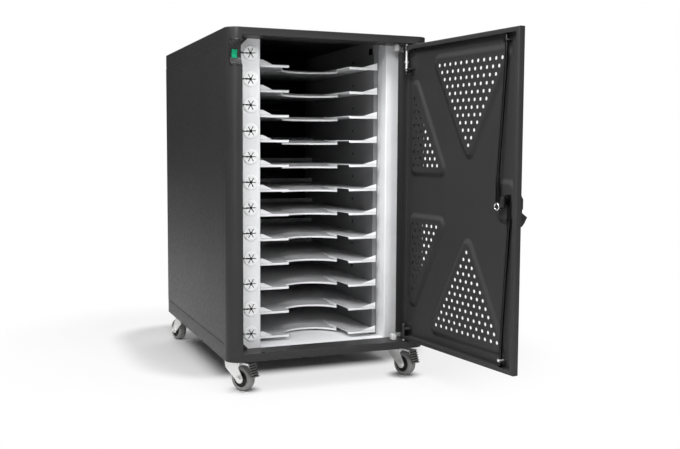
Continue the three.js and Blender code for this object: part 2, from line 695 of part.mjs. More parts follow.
// Lock cam: flat arm on the spindle with a stud for each rod
const camRest = Math.PI / 4;
const camCos = CAM_ARM * Math.cos(camRest);
const camSin = CAM_ARM * Math.sin(camRest);
const studUp = [SPINDLE_U - camCos, midZ - camSin];
const studLow = [SPINDLE_U + camCos, midZ + camSin];
const upY0 = camY0 - GAP - 2.2;
const lowY1 = camY1 + GAP + 2.2;
const STUD_R = 2.4;
const camPlate = join(
  cylY(SPINDLE_U, midZ, 8, camY0, camY1, 10),
  cylY(studUp[0], studUp[1], 5, camY0, camY1, 8),
  cylY(studLow[0], studLow[1], 5, camY0, camY1, 8),
);
part('lock_cam', cut(
  join(
    camPlate,
    cylY(studUp[0], studUp[1], STUD_R, upY0 - GAP - 0.4, camY0 + 0.5, 8),
    cylY(studUp[0], studUp[1], 5, upY0 - GAP - 2.6, upY0 - GAP, 8),
    cylY(studLow[0], studLow[1], STUD_R, camY1 - 0.5, lowY1, 8),
  ),
  cylY(SPINDLE_U, midZ, SPINDLE_R + GAP, camY0 - 6, camY1 + 6, 10),
), 'chrome', onDoor);

// Lock rods: round rods with a flat yoke whose level slot follows the cam stud
const slotHalf = STUD_R + 0.8;
function rod(stud, y0, y1, up) {
  const sign = up ? 1 : -1;
  const side = up ? -1 : 1;
  const u0 = SPINDLE_U + side * CAM_ARM;
  const tip = up ? HEAD - DOOR_GAP - 0.5 : SILL + DOOR_GAP + 0.5;
  const bend = up ? guideV[0] - 26 : guideV[1] + 26;
  const foot = stud[1] + sign * 52;
  const mid = (y0 + y1) / 2;
  const slotU = [Math.min(stud[0], u0) - slotHalf, Math.max(stud[0], u0) + slotHalf];
  const corners = [[-8.4, -6], [4.4, -6], [4.4, 6], [-8.4, 6]];
  const plate = corners.map((p) => [stud[0] - side * p[0], stud[1] + p[1]]);
  const yoke = cut(
    prismY(rounded(plate, 2, 2), y0, y1),
    box(slotU[0], slotU[1], y0 - 1, y1 + 1, stud[1] - slotHalf, stud[1] + slotHalf),
  );
  const shankU = SPINDLE_U + side * (CAM_ARM + 1.5);
  const neck = stud[1] + sign * 4.4;
  const shank = box(shankU - 3.5, shankU + 3.5, y0, y1, Math.min(neck, foot), Math.max(neck, foot));
  const path = new THREE.CatmullRomCurve3([
    new THREE.Vector3(shankU, mid, foot - sign * 6),
    new THREE.Vector3(shankU, mid, foot + sign * 4),
    new THREE.Vector3((shankU + SPINDLE_U * 3) / 4, (mid + rodSet * 3) / 4, bend - sign * 60),
    new THREE.Vector3(SPINDLE_U, rodSet, bend),
    new THREE.Vector3(SPINDLE_U, rodSet, bend + sign * 12),
  ], false, 'catmullrom', 0.1);
  const round = arc(0, 0, ROD_R, 0, 2 * Math.PI * (7 / 8), 7);
  const ring = new THREE.Shape(round.map((p) => new THREE.Vector2(p[0], p[1])));
  const bent = solid(new THREE.ExtrudeGeometry(ring, { steps: 5, extrudePath: path, bevelEnabled: false }));
  const straight = cylZ(SPINDLE_U, rodSet, ROD_R, Math.min(bend, tip), Math.max(bend, tip), 12);
  return join(yoke, shank, bent, straight);
}
part('lock_rod_upper', rod(studUp, upY0, camY0 - GAP, true), 'black', onDoor);
part('lock_rod_lower', rod(studLow, camY1 + GAP, lowY1, false), 'black', onDoor);

// Casters: swivel forks with trailing wheels; the front pair has brake pedals
const forkIn = WHEEL_W / 2 + 1.6;
const forkTop = 59.5;
const casters = [
  ['front_left', XL + CASTER_IN, YF + CASTER_SET, -57.3, true],
  ['front_right', XR - CASTER_IN, YF + CASTER_SET, -70, true],
  ['rear_left', XL + CASTER_IN, YB - REAR_SET, 105, false],
  ['rear_right', XR - CASTER_IN, YB - REAR_SET, 105, false],
];
const PEDAL_PIN = 2;
const [pinX, pinZ] = [22, forkTop - 4];
const hub = arc(TRAIL, WHEEL_R, 9, 0.35, -Math.PI + 0.35, 4);
const plainLeg = [[-13, forkTop], [17, forkTop], [20, 50], ...hub, [-9, 44]];
const ear = [[pinX + 5, forkTop], [pinX + 5, pinZ - 3], [pinX, pinZ - 8]];
const earedLeg = [[-13, forkTop], ...ear, ...hub, [-9, 44]];
const forkBody = (leg) => join(
  prismY(leg, -forkIn - FORK_T, -forkIn),
  prismY(leg, forkIn, forkIn + FORK_T),
  box(-13, 17, -forkIn - FORK_T, forkIn + FORK_T, forkTop - 2.5, forkTop),
  cylZ(0, 0, 18, forkTop - 0.5, forkTop + 7, 14),
  cylZ(0, 0, 11, forkTop + 6.5, BASE_Z - GAP, 10),
  cylY(TRAIL, WHEEL_R, 4, -forkIn - FORK_T - 1, forkIn + FORK_T + 1, 8),
  cylY(TRAIL, WHEEL_R, 6.5, -forkIn - FORK_T - 4, -forkIn - FORK_T + 0.2, 6),
  cylY(TRAIL, WHEEL_R, 6.5, forkIn + FORK_T - 0.2, forkIn + FORK_T + 4, 6),
);
const plainFork = forkBody(plainLeg);
const brakeFork = join(
  forkBody(earedLeg),
  cylY(pinX, pinZ, PEDAL_PIN, -forkIn - FORK_T - 1, forkIn + FORK_T + 1, 8),
);
const half = WHEEL_W / 2;
const wheel = turned([
  [4 + GAP, -half], [8, -half + 2.5], [16, -half + 2.5], [17, -half], [WHEEL_R - 3, -half],
  [WHEEL_R, -half + 4], [WHEEL_R, half - 4], [WHEEL_R - 3, half], [17, half], [16, half - 2.5],
  [8, half - 2.5], [4 + GAP, half],
], 14);
const treadOut = [];
const RIBS = 5;
for (let i = 0; i < RIBS; i += 1) {
  const t0 = i / RIBS;
  const t1 = (i + 0.55) / RIBS;
  const at = (t, o) => [50.5 + 9.5 * t + o * 0.94, 57.5 - 27 * t + o * 0.33];
  treadOut.push(at(t0, 1.4), at(t1, 1.4), at(t1, 0), at((i + 1) / RIBS, 0));
}
const arm = [[pinX, pinZ - 1], [46, 53], [50, 43], [54, 46], [50, 58], [pinX, 58]];
const tread = [[47, 51], [55, 29.5], ...treadOut.reverse(), [46, 58]];
const PEDAL_W = 25;
const pedal = cut(
  join(
    prismY(arm, -8, 8),
    prismY(tread, -PEDAL_W / 2, PEDAL_W / 2),
    cylY(pinX, pinZ, PEDAL_PIN + 2.2, -8, 8, 10),
  ),
  cylY(pinX, pinZ, PEDAL_PIN + GAP, -9, 9, 10),
);
casters.forEach(([name, x, y, turn, brake]) => {
  const set = (g) => g.rotateZ(THREE.MathUtils.degToRad(turn)).translate(x, y, 0);
  const axle = (g) => set(g.translate(TRAIL, 0, WHEEL_R));
  part(`caster_fork_${name}`, brake ? brakeFork : plainFork, 'zinc', set);
  part(`caster_wheel_${name}`, wheel, 'tyre', axle);
  if (brake) part(`brake_pedal_${name}`, pedal, 'black', set);
});

// The part stands on the floor, centred in plan
const bounds = new THREE.Box3().setFromObject(cart);
const centre = bounds.getCenter(new THREE.Vector3());
const shift = new THREE.Vector3(-centre.x, -centre.y, -bounds.min.z);
cart.children.forEach((mesh) => mesh.geometry.translate(shift.x, shift.y, shift.z));

export default cart;
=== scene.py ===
import math

import bmesh
import bpy
import numpy as np
from mathutils import Matrix, Vector
from mathutils.geometry import delaunay_2d_cdt


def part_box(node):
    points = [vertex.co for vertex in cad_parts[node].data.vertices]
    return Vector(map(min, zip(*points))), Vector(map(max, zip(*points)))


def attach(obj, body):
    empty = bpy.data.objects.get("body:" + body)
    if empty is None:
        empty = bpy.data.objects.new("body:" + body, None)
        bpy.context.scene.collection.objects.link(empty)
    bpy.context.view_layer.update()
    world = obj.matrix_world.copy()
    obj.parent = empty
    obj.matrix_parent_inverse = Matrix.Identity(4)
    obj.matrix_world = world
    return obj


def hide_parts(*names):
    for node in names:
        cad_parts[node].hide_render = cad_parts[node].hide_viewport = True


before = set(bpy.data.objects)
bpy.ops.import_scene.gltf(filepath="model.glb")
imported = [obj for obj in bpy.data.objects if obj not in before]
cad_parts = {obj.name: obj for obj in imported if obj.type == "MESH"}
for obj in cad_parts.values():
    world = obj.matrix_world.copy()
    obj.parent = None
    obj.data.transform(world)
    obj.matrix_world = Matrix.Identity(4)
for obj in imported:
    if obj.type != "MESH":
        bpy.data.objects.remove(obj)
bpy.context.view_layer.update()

# Front frame: one formed ring of powder-coated sheet steel with rounded corner posts.
# Its inner edge is folded back round the doorway, and the corners are braced by small gussets.
frame_low, frame_high = (np.array(corner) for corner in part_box("front_frame"))
BODY_W = 423.0
BODY_D = 586.0
FOOT = 69.0
TOP = 709.0
XL, XR = -BODY_W / 2, BODY_W / 2
YF, YB = -BODY_D / 2, BODY_D / 2
CORNER_R = 25.0
SHEET = 1.5
SEAM = 0.3
SHARP = 0.02
WRAP = 29.0
OPEN_L, OPEN_R = XL + 30.5, XR - 28.5
SILL, HEAD = FOOT + 15.5, TOP - 15.5
CAGE_Y = YF + 50.0
COAT = (0.025, 0.0242, 0.0246, 1.0)
plan_centre = np.array([(frame_low[0] + frame_high[0]) / 2, frame_low[1] + BODY_D / 2000, 0.0])


def arc(angles, radius=1.0):
    """Points on a circle about the origin, at angles from its first axis."""
    return radius * np.stack([np.cos(angles), np.sin(angles)], -1)


def outline(corners, radius, steps=6):
    """Closed outline: every corner becomes an arc that touches both of its sides.
    The arc's centre lies on the bisector, at radius / sin(half the corner's angle)."""
    p = np.asarray(corners, float)
    r = np.broadcast_to(np.maximum(np.asarray(radius, float), SHARP), len(p))[:, None]
    a = np.roll(p, 1, 0) - p
    b = np.roll(p, -1, 0) - p
    a /= np.linalg.norm(a, axis=1, keepdims=True)
    b /= np.linalg.norm(b, axis=1, keepdims=True)
    half = np.arccos(np.clip((a * b).sum(1, keepdims=True), -0.9999, 0.9999)) / 2
    mid = (a + b) / np.linalg.norm(a + b, axis=1, keepdims=True)
    centre = p + mid * r / np.sin(half)
    start = p + a * r / np.tan(half) - centre
    end = p + b * r / np.tan(half) - centre
    a0 = np.arctan2(start[:, 1], start[:, 0])
    turn = np.arctan2(end[:, 1], end[:, 0]) - a0
    turn = (turn + np.pi) % (2 * np.pi) - np.pi
    angle = a0[:, None] + turn[:, None] * np.linspace(0, 1, steps + 1)
    return (centre[:, None] + r[:, None] * arc(angle)).reshape(-1, 2)


def rounded(u0, v0, u1, v1, radius, steps=6):
    """Rectangle between two opposite corners, with its corners rounded."""
    return outline([(u0, v0), (u1, v0), (u1, v1), (u0, v1)], radius, steps)


def inset(ring, by, least=0.4):
    """Every point of a closed outline moves inwards along the bisector of its two sides."""
    before = ring - np.roll(ring, 1, 0)
    after = np.roll(ring, -1, 0) - ring
    before /= np.linalg.norm(before, axis=1, keepdims=True) + 1e-12
    after /= np.linalg.norm(after, axis=1, keepdims=True) + 1e-12
    x, y = ring[:, 0], ring[:, 1]
    side = np.sign((x * np.roll(y, -1) - np.roll(x, -1) * y).sum())
    mean = before + after
    mean /= np.linalg.norm(mean, axis=1, keepdims=True) + 1e-12
    reach = by / np.maximum((mean * before).sum(1, keepdims=True), least)
    return ring + side * reach * np.stack([-mean[:, 1], mean[:, 0]], -1)


def loft(rings, looped=False):
    """Closed rings of like count joined by quads, one ring to the next. Each end is one flat face, unless
    the last ring is joined to the first."""
    rings = np.asarray(rings, float)
    count, n = rings.shape[:2]
    k = np.arange(count if looped else count - 1)[:, None]
    i = np.arange(n)[None]
    near, far = k * n, ((k + 1) % count) * n
    j = (i + 1) % n
    faces = np.stack([near + i, near + j, far + j, far + i], -1).reshape(-1, 4).tolist()
    if not looped:
        faces.append(list(range(n))[::-1])
        faces.append(list(range((count - 1) * n, count * n)))
    return rings.reshape(-1, 3), faces


def laid(flat, level, axis):
    """Outline points placed at a level along one axis; the other two axes keep their order."""
    across = np.full(len(flat), float(level))
    u, v = flat[:, 0], flat[:, 1]
    return np.stack({"x": (across, u, v), "y": (u, across, v), "z": (u, v, across)}[axis], -1)


def slab(ring, low, high, axis, edge=0.4, steps=3):
    """Outline carried from low to high along an axis, both rims rounded by a quarter circle."""
    t = np.linspace(0, np.pi / 2, steps + 1)
    cut = edge * (1 - np.sin(t))
    rise = edge * (1 - np.cos(t))
    foot = [laid(inset(ring, c), low + r, axis) for c, r in zip(cut, rise)]
    head = [laid(inset(ring, c), high - r, axis) for c, r in zip(cut[::-1], rise[::-1])]
    return loft(foot + head)


def block(low, high, axis="z", corner=1.0, edge=0.4, steps=3):
    """Rectangular block with rounded corners in the plane across an axis, and rounded rims."""
    low, high = np.array(low, float), np.array(high, float)
    k = "xyz".index(axis)
    u, v = [n for n in range(3) if n != k]
    rim = rounded(low[u], low[v], high[u], high[v], corner, 4)
    return slab(rim, low[k], high[k], axis, edge, steps)


def joined(*shells):
    """Several closed shells as one list of points and faces."""
    points, faces, base = [], [], 0
    for verts, rows in shells:
        points.append(np.asarray(verts, float))
        faces.extend([[base + n for n in row] for row in rows])
        base += len(verts)
    return np.vstack(points), faces


def closed_mesh(name, verts, faces, near, sliver=0.0):
    """A mesh from points and faces: points nearer than a distance are merged, faces thinner than a
    sliver dissolved, and all faces turned outwards."""
    mesh = bpy.data.meshes.new(name)
    mesh.from_pydata(verts.tolist(), [], faces)
    work = bmesh.new()
    work.from_mesh(mesh)
    bmesh.ops.remove_doubles(work, verts=work.verts, dist=near)
    if sliver > 0:
        bmesh.ops.dissolve_degenerate(work, edges=work.edges, dist=sliver)
    bmesh.ops.recalc_face_normals(work, faces=work.faces)
    work.to_mesh(mesh)
    work.free()
    return mesh


def placed(name, data):
    """A mesh, a lamp or a camera as an object in the scene, at the origin."""
    obj = bpy.data.objects.new(name, data)
    bpy.context.scene.collection.objects.link(obj)
    return obj


def piece(name, shell, material, crease=32.0):
    """A finished piece, from points in millimetres about the middle of the cabinet. It is smooth, apart
    from edges sharper than the crease, in degrees."""
    verts, faces = shell
    mesh = closed_mesh(name, np.asarray(verts) / 1000 + plan_centre, faces, 2e-6, 1e-7)
    mesh.polygons.foreach_set("use_smooth", np.ones(len(mesh.polygons), bool))
    mesh.set_sharp_from_angle(angle=math.radians(crease))
    mesh.materials.append(material)
    return placed(name, mesh)


def carved(body, *cutters):
    """One closed shell less others: an exact boolean of Blender's, read back as points and faces."""
    blank, *tools = [placed("blank", closed_mesh("blank", np.asarray(verts), faces, 1e-4))
                     for verts, faces in (body, *cutters)]
    for tool in tools:
        step = blank.modifiers.new("cut", "BOOLEAN")
        step.operation = "DIFFERENCE"
        step.solver = "EXACT"
        step.object = tool
    mesh = bpy.data.meshes.new_from_object(blank.evaluated_get(bpy.context.evaluated_depsgraph_get()))
    verts = np.empty(len(mesh.vertices) * 3)
    mesh.vertices.foreach_get("co", verts)
    faces = [list(polygon.vertices) for polygon in mesh.polygons]
    for obj in [blank, *tools]:
        bpy.data.objects.remove(obj)
    return verts.reshape(-1, 3), faces


def shader(name):
    """A new node material: its node tree, its main shader and its object coordinates."""
    material = bpy.data.materials.new(name)
    material.use_nodes = True
    tree = material.node_tree
    coords = tree.nodes.new("ShaderNodeTexCoord").outputs["Object"]
    return material, tree, tree.nodes["Principled BSDF"], coords


def noise(tree, coords, scale, detail=2.0, stretch=None):
    """Noise at a scale per metre, pulled out along an axis where a stretch is given."""
    if stretch is not None:
        mapping = tree.nodes.new("ShaderNodeMapping")
        mapping.inputs["Scale"].default_value = stretch
        tree.links.new(coords, mapping.inputs["Vector"])
        coords = mapping.outputs["Vector"]
    node = tree.nodes.new("ShaderNodeTexNoise")
    node.inputs["Scale"].default_value = scale
    node.inputs["Detail"].default_value = detail
    tree.links.new(coords, node.inputs["Vector"])
    return node.outputs["Fac"]


def ramp(tree, factor, low, high, start=0.3, stop=0.7):
    """Two colours, or two grey levels, faded into each other by a factor."""
    node = tree.nodes.new("ShaderNodeValToRGB")
    tree.links.new(factor, node.inputs["Fac"])
    for stop_point, place, value in zip(node.color_ramp.elements, (start, stop), (low, high)):
        stop_point.position = place
        stop_point.color = value if isinstance(value, tuple) else (value, value, value, 1.0)
    return node.outputs["Color"]


def relief(tree, bsdf, height, strength, distance):
    """Fine surface relief from a height."""
    node = tree.nodes.new("ShaderNodeBump")
    node.inputs["Strength"].default_value = strength
    node.inputs["Distance"].default_value = distance
    tree.links.new(height, node.inputs["Height"])
    tree.links.new(node.outputs["Normal"], bsdf.inputs["Normal"])


def shaded(colour, times, plus=0.0):
    """A colour made paler or darker by a factor, and by a small amount where one is given."""
    return tuple(min(1.0, c * times + plus) for c in colour[:3]) + (1.0,)


def powder_coat(name, colour, rough, peel=0.1, gloss=0.5, painted_tilt=0.0):
    """Baked powder: a fine orange peel, slightly uneven gloss and a faint cloud in the colour. A painted
    tilt, where there is one, paints what tilts upwards paler and what tilts downwards darker, as light from
    above would; a minus paints shade on what lies level and faces up, greying it."""
    material, tree, bsdf, coords = shader(name)
    tint = ramp(tree, noise(tree, coords, 9.0, 4.0), shaded(colour, 0.94), shaded(colour, 1.06))
    # Painted light and shade: the colour is scaled by how far each face tilts up or down.
    if painted_tilt:
        upright = tree.nodes.new("ShaderNodeSeparateXYZ")
        tree.links.new(tree.nodes.new("ShaderNodeNewGeometry").outputs["Normal"], upright.inputs["Vector"])
        tilt_shade = tree.nodes.new("ShaderNodeMapRange")
        limits = (-0.3, 0.3, 1 - painted_tilt / 2, 1 + painted_tilt) if painted_tilt > 0 else (0.1, 0.6, 1.0, 1 + painted_tilt)
        for socket, value in zip(("From Min", "From Max", "To Min", "To Max"), limits):
            tilt_shade.inputs[socket].default_value = value
        tree.links.new(upright.outputs["Z"], tilt_shade.inputs["Value"])
        tilt_shaded = tree.nodes.new("ShaderNodeVectorMath")
        tilt_shaded.operation = "SCALE"
        tree.links.new(tint, tilt_shaded.inputs[0])
        tree.links.new(tilt_shade.outputs["Result"], tilt_shaded.inputs["Scale"])
        tint = tilt_shaded.outputs["Vector"]
    tree.links.new(tint, bsdf.inputs["Base Color"])
    bsdf.inputs["Specular IOR Level"].default_value = gloss
    gleam = noise(tree, coords, 160.0, 3.0)
    tree.links.new(ramp(tree, gleam, rough - 0.05, rough + 0.05), bsdf.inputs["Roughness"])
    relief(tree, bsdf, noise(tree, coords, 850.0, 1.5), peel, 0.0004)
    return material


coat = powder_coat("charcoal_coat", COAT, 0.38, gloss=0.25)

post_left = arc(np.linspace(np.pi, 1.5 * np.pi, 17), CORNER_R) + (XL + CORNER_R, YF + CORNER_R)
post_right = post_left[::-1] * (-1, 1)
frame_plan = np.vstack([[[XL, YF + WRAP]], post_left, post_right, [[XR, YF + WRAP]]])
fold_t = np.linspace(0, np.pi / 2, 7)
FOLD_R = 2.6
PAST = 5.0


def doorway(grow, level):
    """The doorway's rectangle, grown all round, at a depth."""
    a, b, c, d = OPEN_L - grow, OPEN_R + grow, SILL - grow, HEAD + grow
    return laid(np.array([(a, c), (b, c), (b, d), (a, d)]), level, "y")


flare = [doorway(0, CAGE_Y + PAST)]
flare += [doorway(FOLD_R * (1 - np.cos(t)), YF + FOLD_R * (1 - np.sin(t))) for t in fold_t]
flare.append(doorway(FOLD_R, YF - PAST))
SWITCH_X0, SWITCH_Z0, SWITCH_Z1, SWITCH_DEEP = XL + 5.5, TOP - 74.0, TOP - 22.0, 15.0


def full_turn(steps):
    """Evenly spaced angles once round."""
    return np.linspace(0, 2 * np.pi, steps, endpoint=False)


def round_bar(x, y, radius, low, high):
    """Upright cylinder."""
    ring = arc(full_turn(36), radius) + (x, y)
    return loft([laid(ring, low, "z"), laid(ring, high, "z")])


PIVOT_X, PIVOT_Y = 166.5, YF + 11.3
SPINDLE_U, ROD_SET = 306.0, 3.5
ROD_X, ROD_Y = PIVOT_X - SPINDLE_U, PIVOT_Y - ROD_SET
ROD_HOLE, PIN_HOLE, HOLE_DEEP = 4.5, 2.9, 3.0
frame_block = carved(
    slab(frame_plan, FOOT, TOP, "z", 1.6, 4),
    loft(flare),
    slab(rounded(SWITCH_X0, SWITCH_Z0, OPEN_L + 4, SWITCH_Z1, 6), YF - 1, YF + SWITCH_DEEP, "y", SHARP),
    round_bar(ROD_X, ROD_Y, ROD_HOLE, SILL - HOLE_DEEP, HEAD + HOLE_DEEP),
    round_bar(PIVOT_X, PIVOT_Y, PIN_HOLE, SILL - HOLE_DEEP, HEAD + HOLE_DEEP),
)
return_ring = loft([doorway(0, YF + WRAP), doorway(0, CAGE_Y - 0.5), doorway(SHEET, CAGE_Y - 0.5),
                    doorway(SHEET, YF + WRAP)], looped=True)
BRACE = 23.0
braces = []
for edge_z, way in ((HEAD, -1), (SILL, 1)):
    triangle = [(OPEN_L, edge_z), (OPEN_L + BRACE, edge_z), (OPEN_L, edge_z + way * BRACE)]
    braces.append(slab(outline(triangle, (0.1, 1.0, 1.0), 3), CAGE_Y - 3, CAGE_Y - 0.6, "y", 0.3))
front = piece("front_frame_shell", joined(frame_block, return_ring, *braces), coat)
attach(front, "cabinet")
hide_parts("front_frame")

# Top cover and base pan: folded steel lids with a skirt on three sides, rounded at the folds.
# The base pan's floor sits a little above the skirt's lower rim and carries the four casters.
BODY_Y0 = YF + WRAP + SEAM
SKIRT = 32.0
lid_plan = rounded(XL, BODY_Y0 - 9, XR, YB, 4.0)
trimmed = block((XL - 9, BODY_Y0 - 40, FOOT - 40), (XR + 9, BODY_Y0, TOP + 40))
lid = carved(
    slab(lid_plan, TOP - SKIRT, TOP, "z", 2.0, 5),
    block((XL + SHEET, BODY_Y0 - 30, TOP - SKIRT - 9), (XR - SHEET, YB - SHEET, TOP - SHEET), corner=2.5),
    trimmed,
)
top_cover = piece("top_cover_shell", lid, coat)
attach(top_cover, "cabinet")
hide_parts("top_cover")
BASE_Z = FOOT + 6.0
pan = carved(
    slab(lid_plan, FOOT, FOOT + SKIRT, "z", 1.2, 4),
    block((XL + SHEET, BODY_Y0 - 30, BASE_Z + SHEET), (XR - SHEET, YB - SHEET, TOP), corner=2.5),
    block((XL + SHEET, BODY_Y0 - 30, FOOT - 20), (XR - SHEET, YB - SHEET, BASE_Z), corner=2.5),
    trimmed,
)
base_pan = piece("base_pan_shell", pan, coat)
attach(base_pan, "cabinet")
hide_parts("base_pan")

# Side panels: flat coated sheets set between the skirts, with their front and rear edges folded in.
# The folds have a small outside radius, so each panel shows a fine seam all round; a backing strip
# inside the upper seam overlaps the skirt.
THIN = 1.2
LAP, LAP_T = 8.0, 0.8
PANEL_Z0, PANEL_Z1 = FOOT + SKIRT + SEAM, TOP - SKIRT - SEAM
SIDE_FOLD = 18.0
SIDE_BENDS = (1.8, 0.55, 0.55, 0.8, 0.8, 0.55, 0.55, 1.8)
for side, name in ((-1, "left"), (1, "right")):
    corners = np.array([
        (0, BODY_Y0), (SIDE_FOLD, BODY_Y0), (SIDE_FOLD, BODY_Y0 + THIN), (THIN, BODY_Y0 + THIN),
        (THIN, YB - THIN), (SIDE_FOLD, YB - THIN), (SIDE_FOLD, YB), (0, YB),
    ])
    plan = np.stack([side * (XR - corners[:, 0]), corners[:, 1]], -1)
    lap_x = sorted((side * (XR - THIN), side * (XR - THIN - LAP_T)))
    lap = block((lap_x[0], BODY_Y0 + LAP, PANEL_Z1 - LAP), (lap_x[1], YB - LAP, PANEL_Z1 + LAP),
                "z", 0.2, 0.1, 1)
    sheet = slab(outline(plan, SIDE_BENDS, 5), PANEL_Z0, PANEL_Z1, "z", 0.5)
    panel = piece(f"side_sheet_{name}", joined(sheet, lap), coat)
    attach(panel, "cabinet")
    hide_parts(f"side_panel_{name}")


# Back panel: one coated sheet with two banks of cooling slots and the inlet's window. Each slot is
# hooded by a louvre pressed inwards. Eight pan-head screws hold the sheet to the side panels' folds.
def enclosed(points, loop):
    """Which points lie inside a loop: those from which a level line crosses it an odd number of times."""
    a, b = loop, np.roll(loop, -1, 0)
    x, y = points[:, :1], points[:, 1:]
    spans = (a[:, 1] > y) != (b[:, 1] > y)
    with np.errstate(divide="ignore", invalid="ignore"):
        crossing = a[:, 0] + (y - a[:, 1]) * (b[:, 0] - a[:, 0]) / (b[:, 1] - a[:, 1])
    return (spans & (x < crossing)).sum(1) % 2 == 1


def walled(flat, triangles, low, high, axis):
    """Two copies of a flat net of triangles, at two levels, joined by quads along every open edge."""
    n = len(flat)
    level = [np.broadcast_to(np.asarray(v, float), n) for v in (low, high)]
    order = {"x": (2, 0, 1), "y": (0, 2, 1), "z": (0, 1, 2)}[axis]
    verts = np.vstack([np.column_stack([flat, h])[:, order] for h in level])
    pairs = np.vstack([triangles[:, [0, 1]], triangles[:, [1, 2]], triangles[:, [2, 0]]])
    _, where, count = np.unique(np.sort(pairs, 1), axis=0, return_index=True, return_counts=True)
    rim = pairs[where[count == 1]]
    walls = np.stack([rim[:, 1], rim[:, 0], rim[:, 0] + n, rim[:, 1] + n], -1)
    return verts, triangles[:, ::-1].tolist() + (triangles + n).tolist() + walls.tolist()


def loop_edges(loops):
    """Pairs of neighbouring points round every loop, numbered through all of them."""
    edges, base = [], 0
    for loop in loops:
        count = np.arange(len(loop))
        edges += np.stack([base + count, base + (count + 1) % len(loop)], -1).tolist()
        base += len(loop)
    return edges


def punched(rim, holes, low, high, axis):
    """Flat sheet with holes: Delaunay triangles inside the rim and outside the holes, on both faces,
    with a wall round every rim."""
    loops = [rim, *holes]
    corners = [Vector(p) for p in np.vstack(loops)]
    points, _, triangles, *_ = delaunay_2d_cdt(corners, loop_edges(loops), [], 2, 1e-5)
    net, triangles = np.array([tuple(p) for p in points]), np.array(triangles)
    for hole in holes:
        triangles = triangles[~enclosed(net[triangles].mean(1), np.asarray(hole, float))]
    return walled(net, triangles, low, high, axis)


BACK_X = XR - SIDE_FOLD - SEAM
INLET_X, INLET_Z, INLET_W, INLET_H = XL + 70.0, FOOT + 75.0, 27.0, 20.0
VENT_W, VENT_H, VENT_R = 190.0, 6.0, 2.98
VENT_Z0, VENT_PITCH, BANK_PITCH = FOOT + 300.0, 18.0, 190.0
vent_z = [VENT_Z0 + bank * BANK_PITCH + step * VENT_PITCH for bank in range(2) for step in range(6)]
vents = [rounded(-VENT_W / 2, z - VENT_H / 2, VENT_W / 2, z + VENT_H / 2, VENT_R) for z in vent_z]
half_w, half_h = INLET_W / 2, INLET_H / 2
window = rounded(INLET_X - half_w, INLET_Z - half_h, INLET_X + half_w, INLET_Z + half_h, 1.0, 3)
back_rim = rounded(-BACK_X, PANEL_Z0, BACK_X, PANEL_Z1, 2.0, 4)
HOOD = np.array([(0.2, 6.0), (-1.5, 5.2), (-6.0, 1.5), (-7.0, -1.0), (-7.0, -6.0)])
HOOD_T, HOOD_HALF = 0.7, VENT_W / 2 + 2


def louvre(z):
    """Hood inside a slot: a bent strip that leaves the slot's upper edge and hangs down before it."""
    strip = np.vstack([HOOD, HOOD[::-1] + (HOOD_T, -HOOD_T)])
    return slab(strip + (YB - THIN, z), -HOOD_HALF, HOOD_HALF, "x", 0.05, 1)


back_lap = block((-BACK_X, YB - THIN - LAP_T, PANEL_Z1 - LAP), (BACK_X, YB - THIN, PANEL_Z1 + LAP),
                 "z", 0.2, 0.1, 1)
back = piece("back_sheet", joined(punched(back_rim, [*vents, window], YB - THIN, YB, "y"), back_lap,
                                  *(louvre(z) for z in vent_z)), coat)
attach(back, "cabinet")
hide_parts("back_panel")


def turned(profile, centre, along, steps=36):
    """Body of revolution: a profile of (radius, height) carried round an axis through a centre."""
    along = np.asarray(along, float) / np.linalg.norm(along)
    across = np.cross(along, (0, 0, 1.0) if abs(along[2]) < 0.9 else (1.0, 0, 0))
    across /= np.linalg.norm(across)
    third = np.cross(along, across)
    a = full_turn(steps)[:, None]
    spokes = np.cos(a) * across + np.sin(a) * third
    p = np.asarray(profile, float)
    rings = np.asarray(centre) + p[:, 0, None, None] * spokes + p[:, 1, None, None] * along
    return loft(rings)


def metal(name, colour, rough, grain, stretch, wear=0.06, pure=1.0):
    """Plated steel: fine drawn grain along one axis, uneven gloss and slight tarnish in the colour."""
    material, tree, bsdf, coords = shader(name)
    tarnish = noise(tree, coords, 55.0, 5.0)
    tree.links.new(ramp(tree, tarnish, shaded(colour, 0.91), colour, 0.25, 0.6), bsdf.inputs["Base Color"])
    drawn = noise(tree, coords, grain, 3.0, stretch)
    tree.links.new(ramp(tree, drawn, rough - wear, rough + wear), bsdf.inputs["Roughness"])
    relief(tree, bsdf, drawn, 0.05, 0.0002)
    bsdf.inputs["Metallic"].default_value = pure
    return material


zinc = metal("bright_zinc", (0.96, 0.96, 0.95, 1.0), 0.34, 420.0, (1.0, 1.0, 0.15), pure=0.6)
SCREW = [(0.05, 0.4), (0.9, 0.4), (0.9, 1.1), (1.3, 1.25), (2.4, 1.0), (3.1, 0.45), (3.3, 0.0), (3.3, -0.3)]
SCREW_IN, SCREW_END = 8.0, 20.0
screws = [turned(SCREW, (x, YB + SEAM, z), (0, 1, 0), 20) for x in (-BACK_X + SCREW_IN, BACK_X - SCREW_IN)
          for z in np.linspace(PANEL_Z0 + SCREW_END, PANEL_Z1 - SCREW_END, 4)]
back_screws = piece("back_screws", joined(*screws), zinc, 40)
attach(back_screws, "cabinet")

# Mains inlet: black moulded socket clipped into the back panel, with a flange and three blades.
# Its barrel reaches through the sheet, and a well in it takes a plug.
def moulded(name, colour, rough, grain=700.0, depth=0.25):
    """Moulded plastic: a fine even spark texture and a slightly uneven gloss."""
    material, tree, bsdf, coords = shader(name)
    cloud = noise(tree, coords, 40.0, 3.0)
    tree.links.new(ramp(tree, cloud, colour, shaded(colour, 1.25, 0.002)), bsdf.inputs["Base Color"])
    spark = noise(tree, coords, grain, 2.0)
    tree.links.new(ramp(tree, spark, rough - 0.07, rough + 0.07), bsdf.inputs["Roughness"])
    relief(tree, bsdf, spark, depth, 0.0003)
    return material


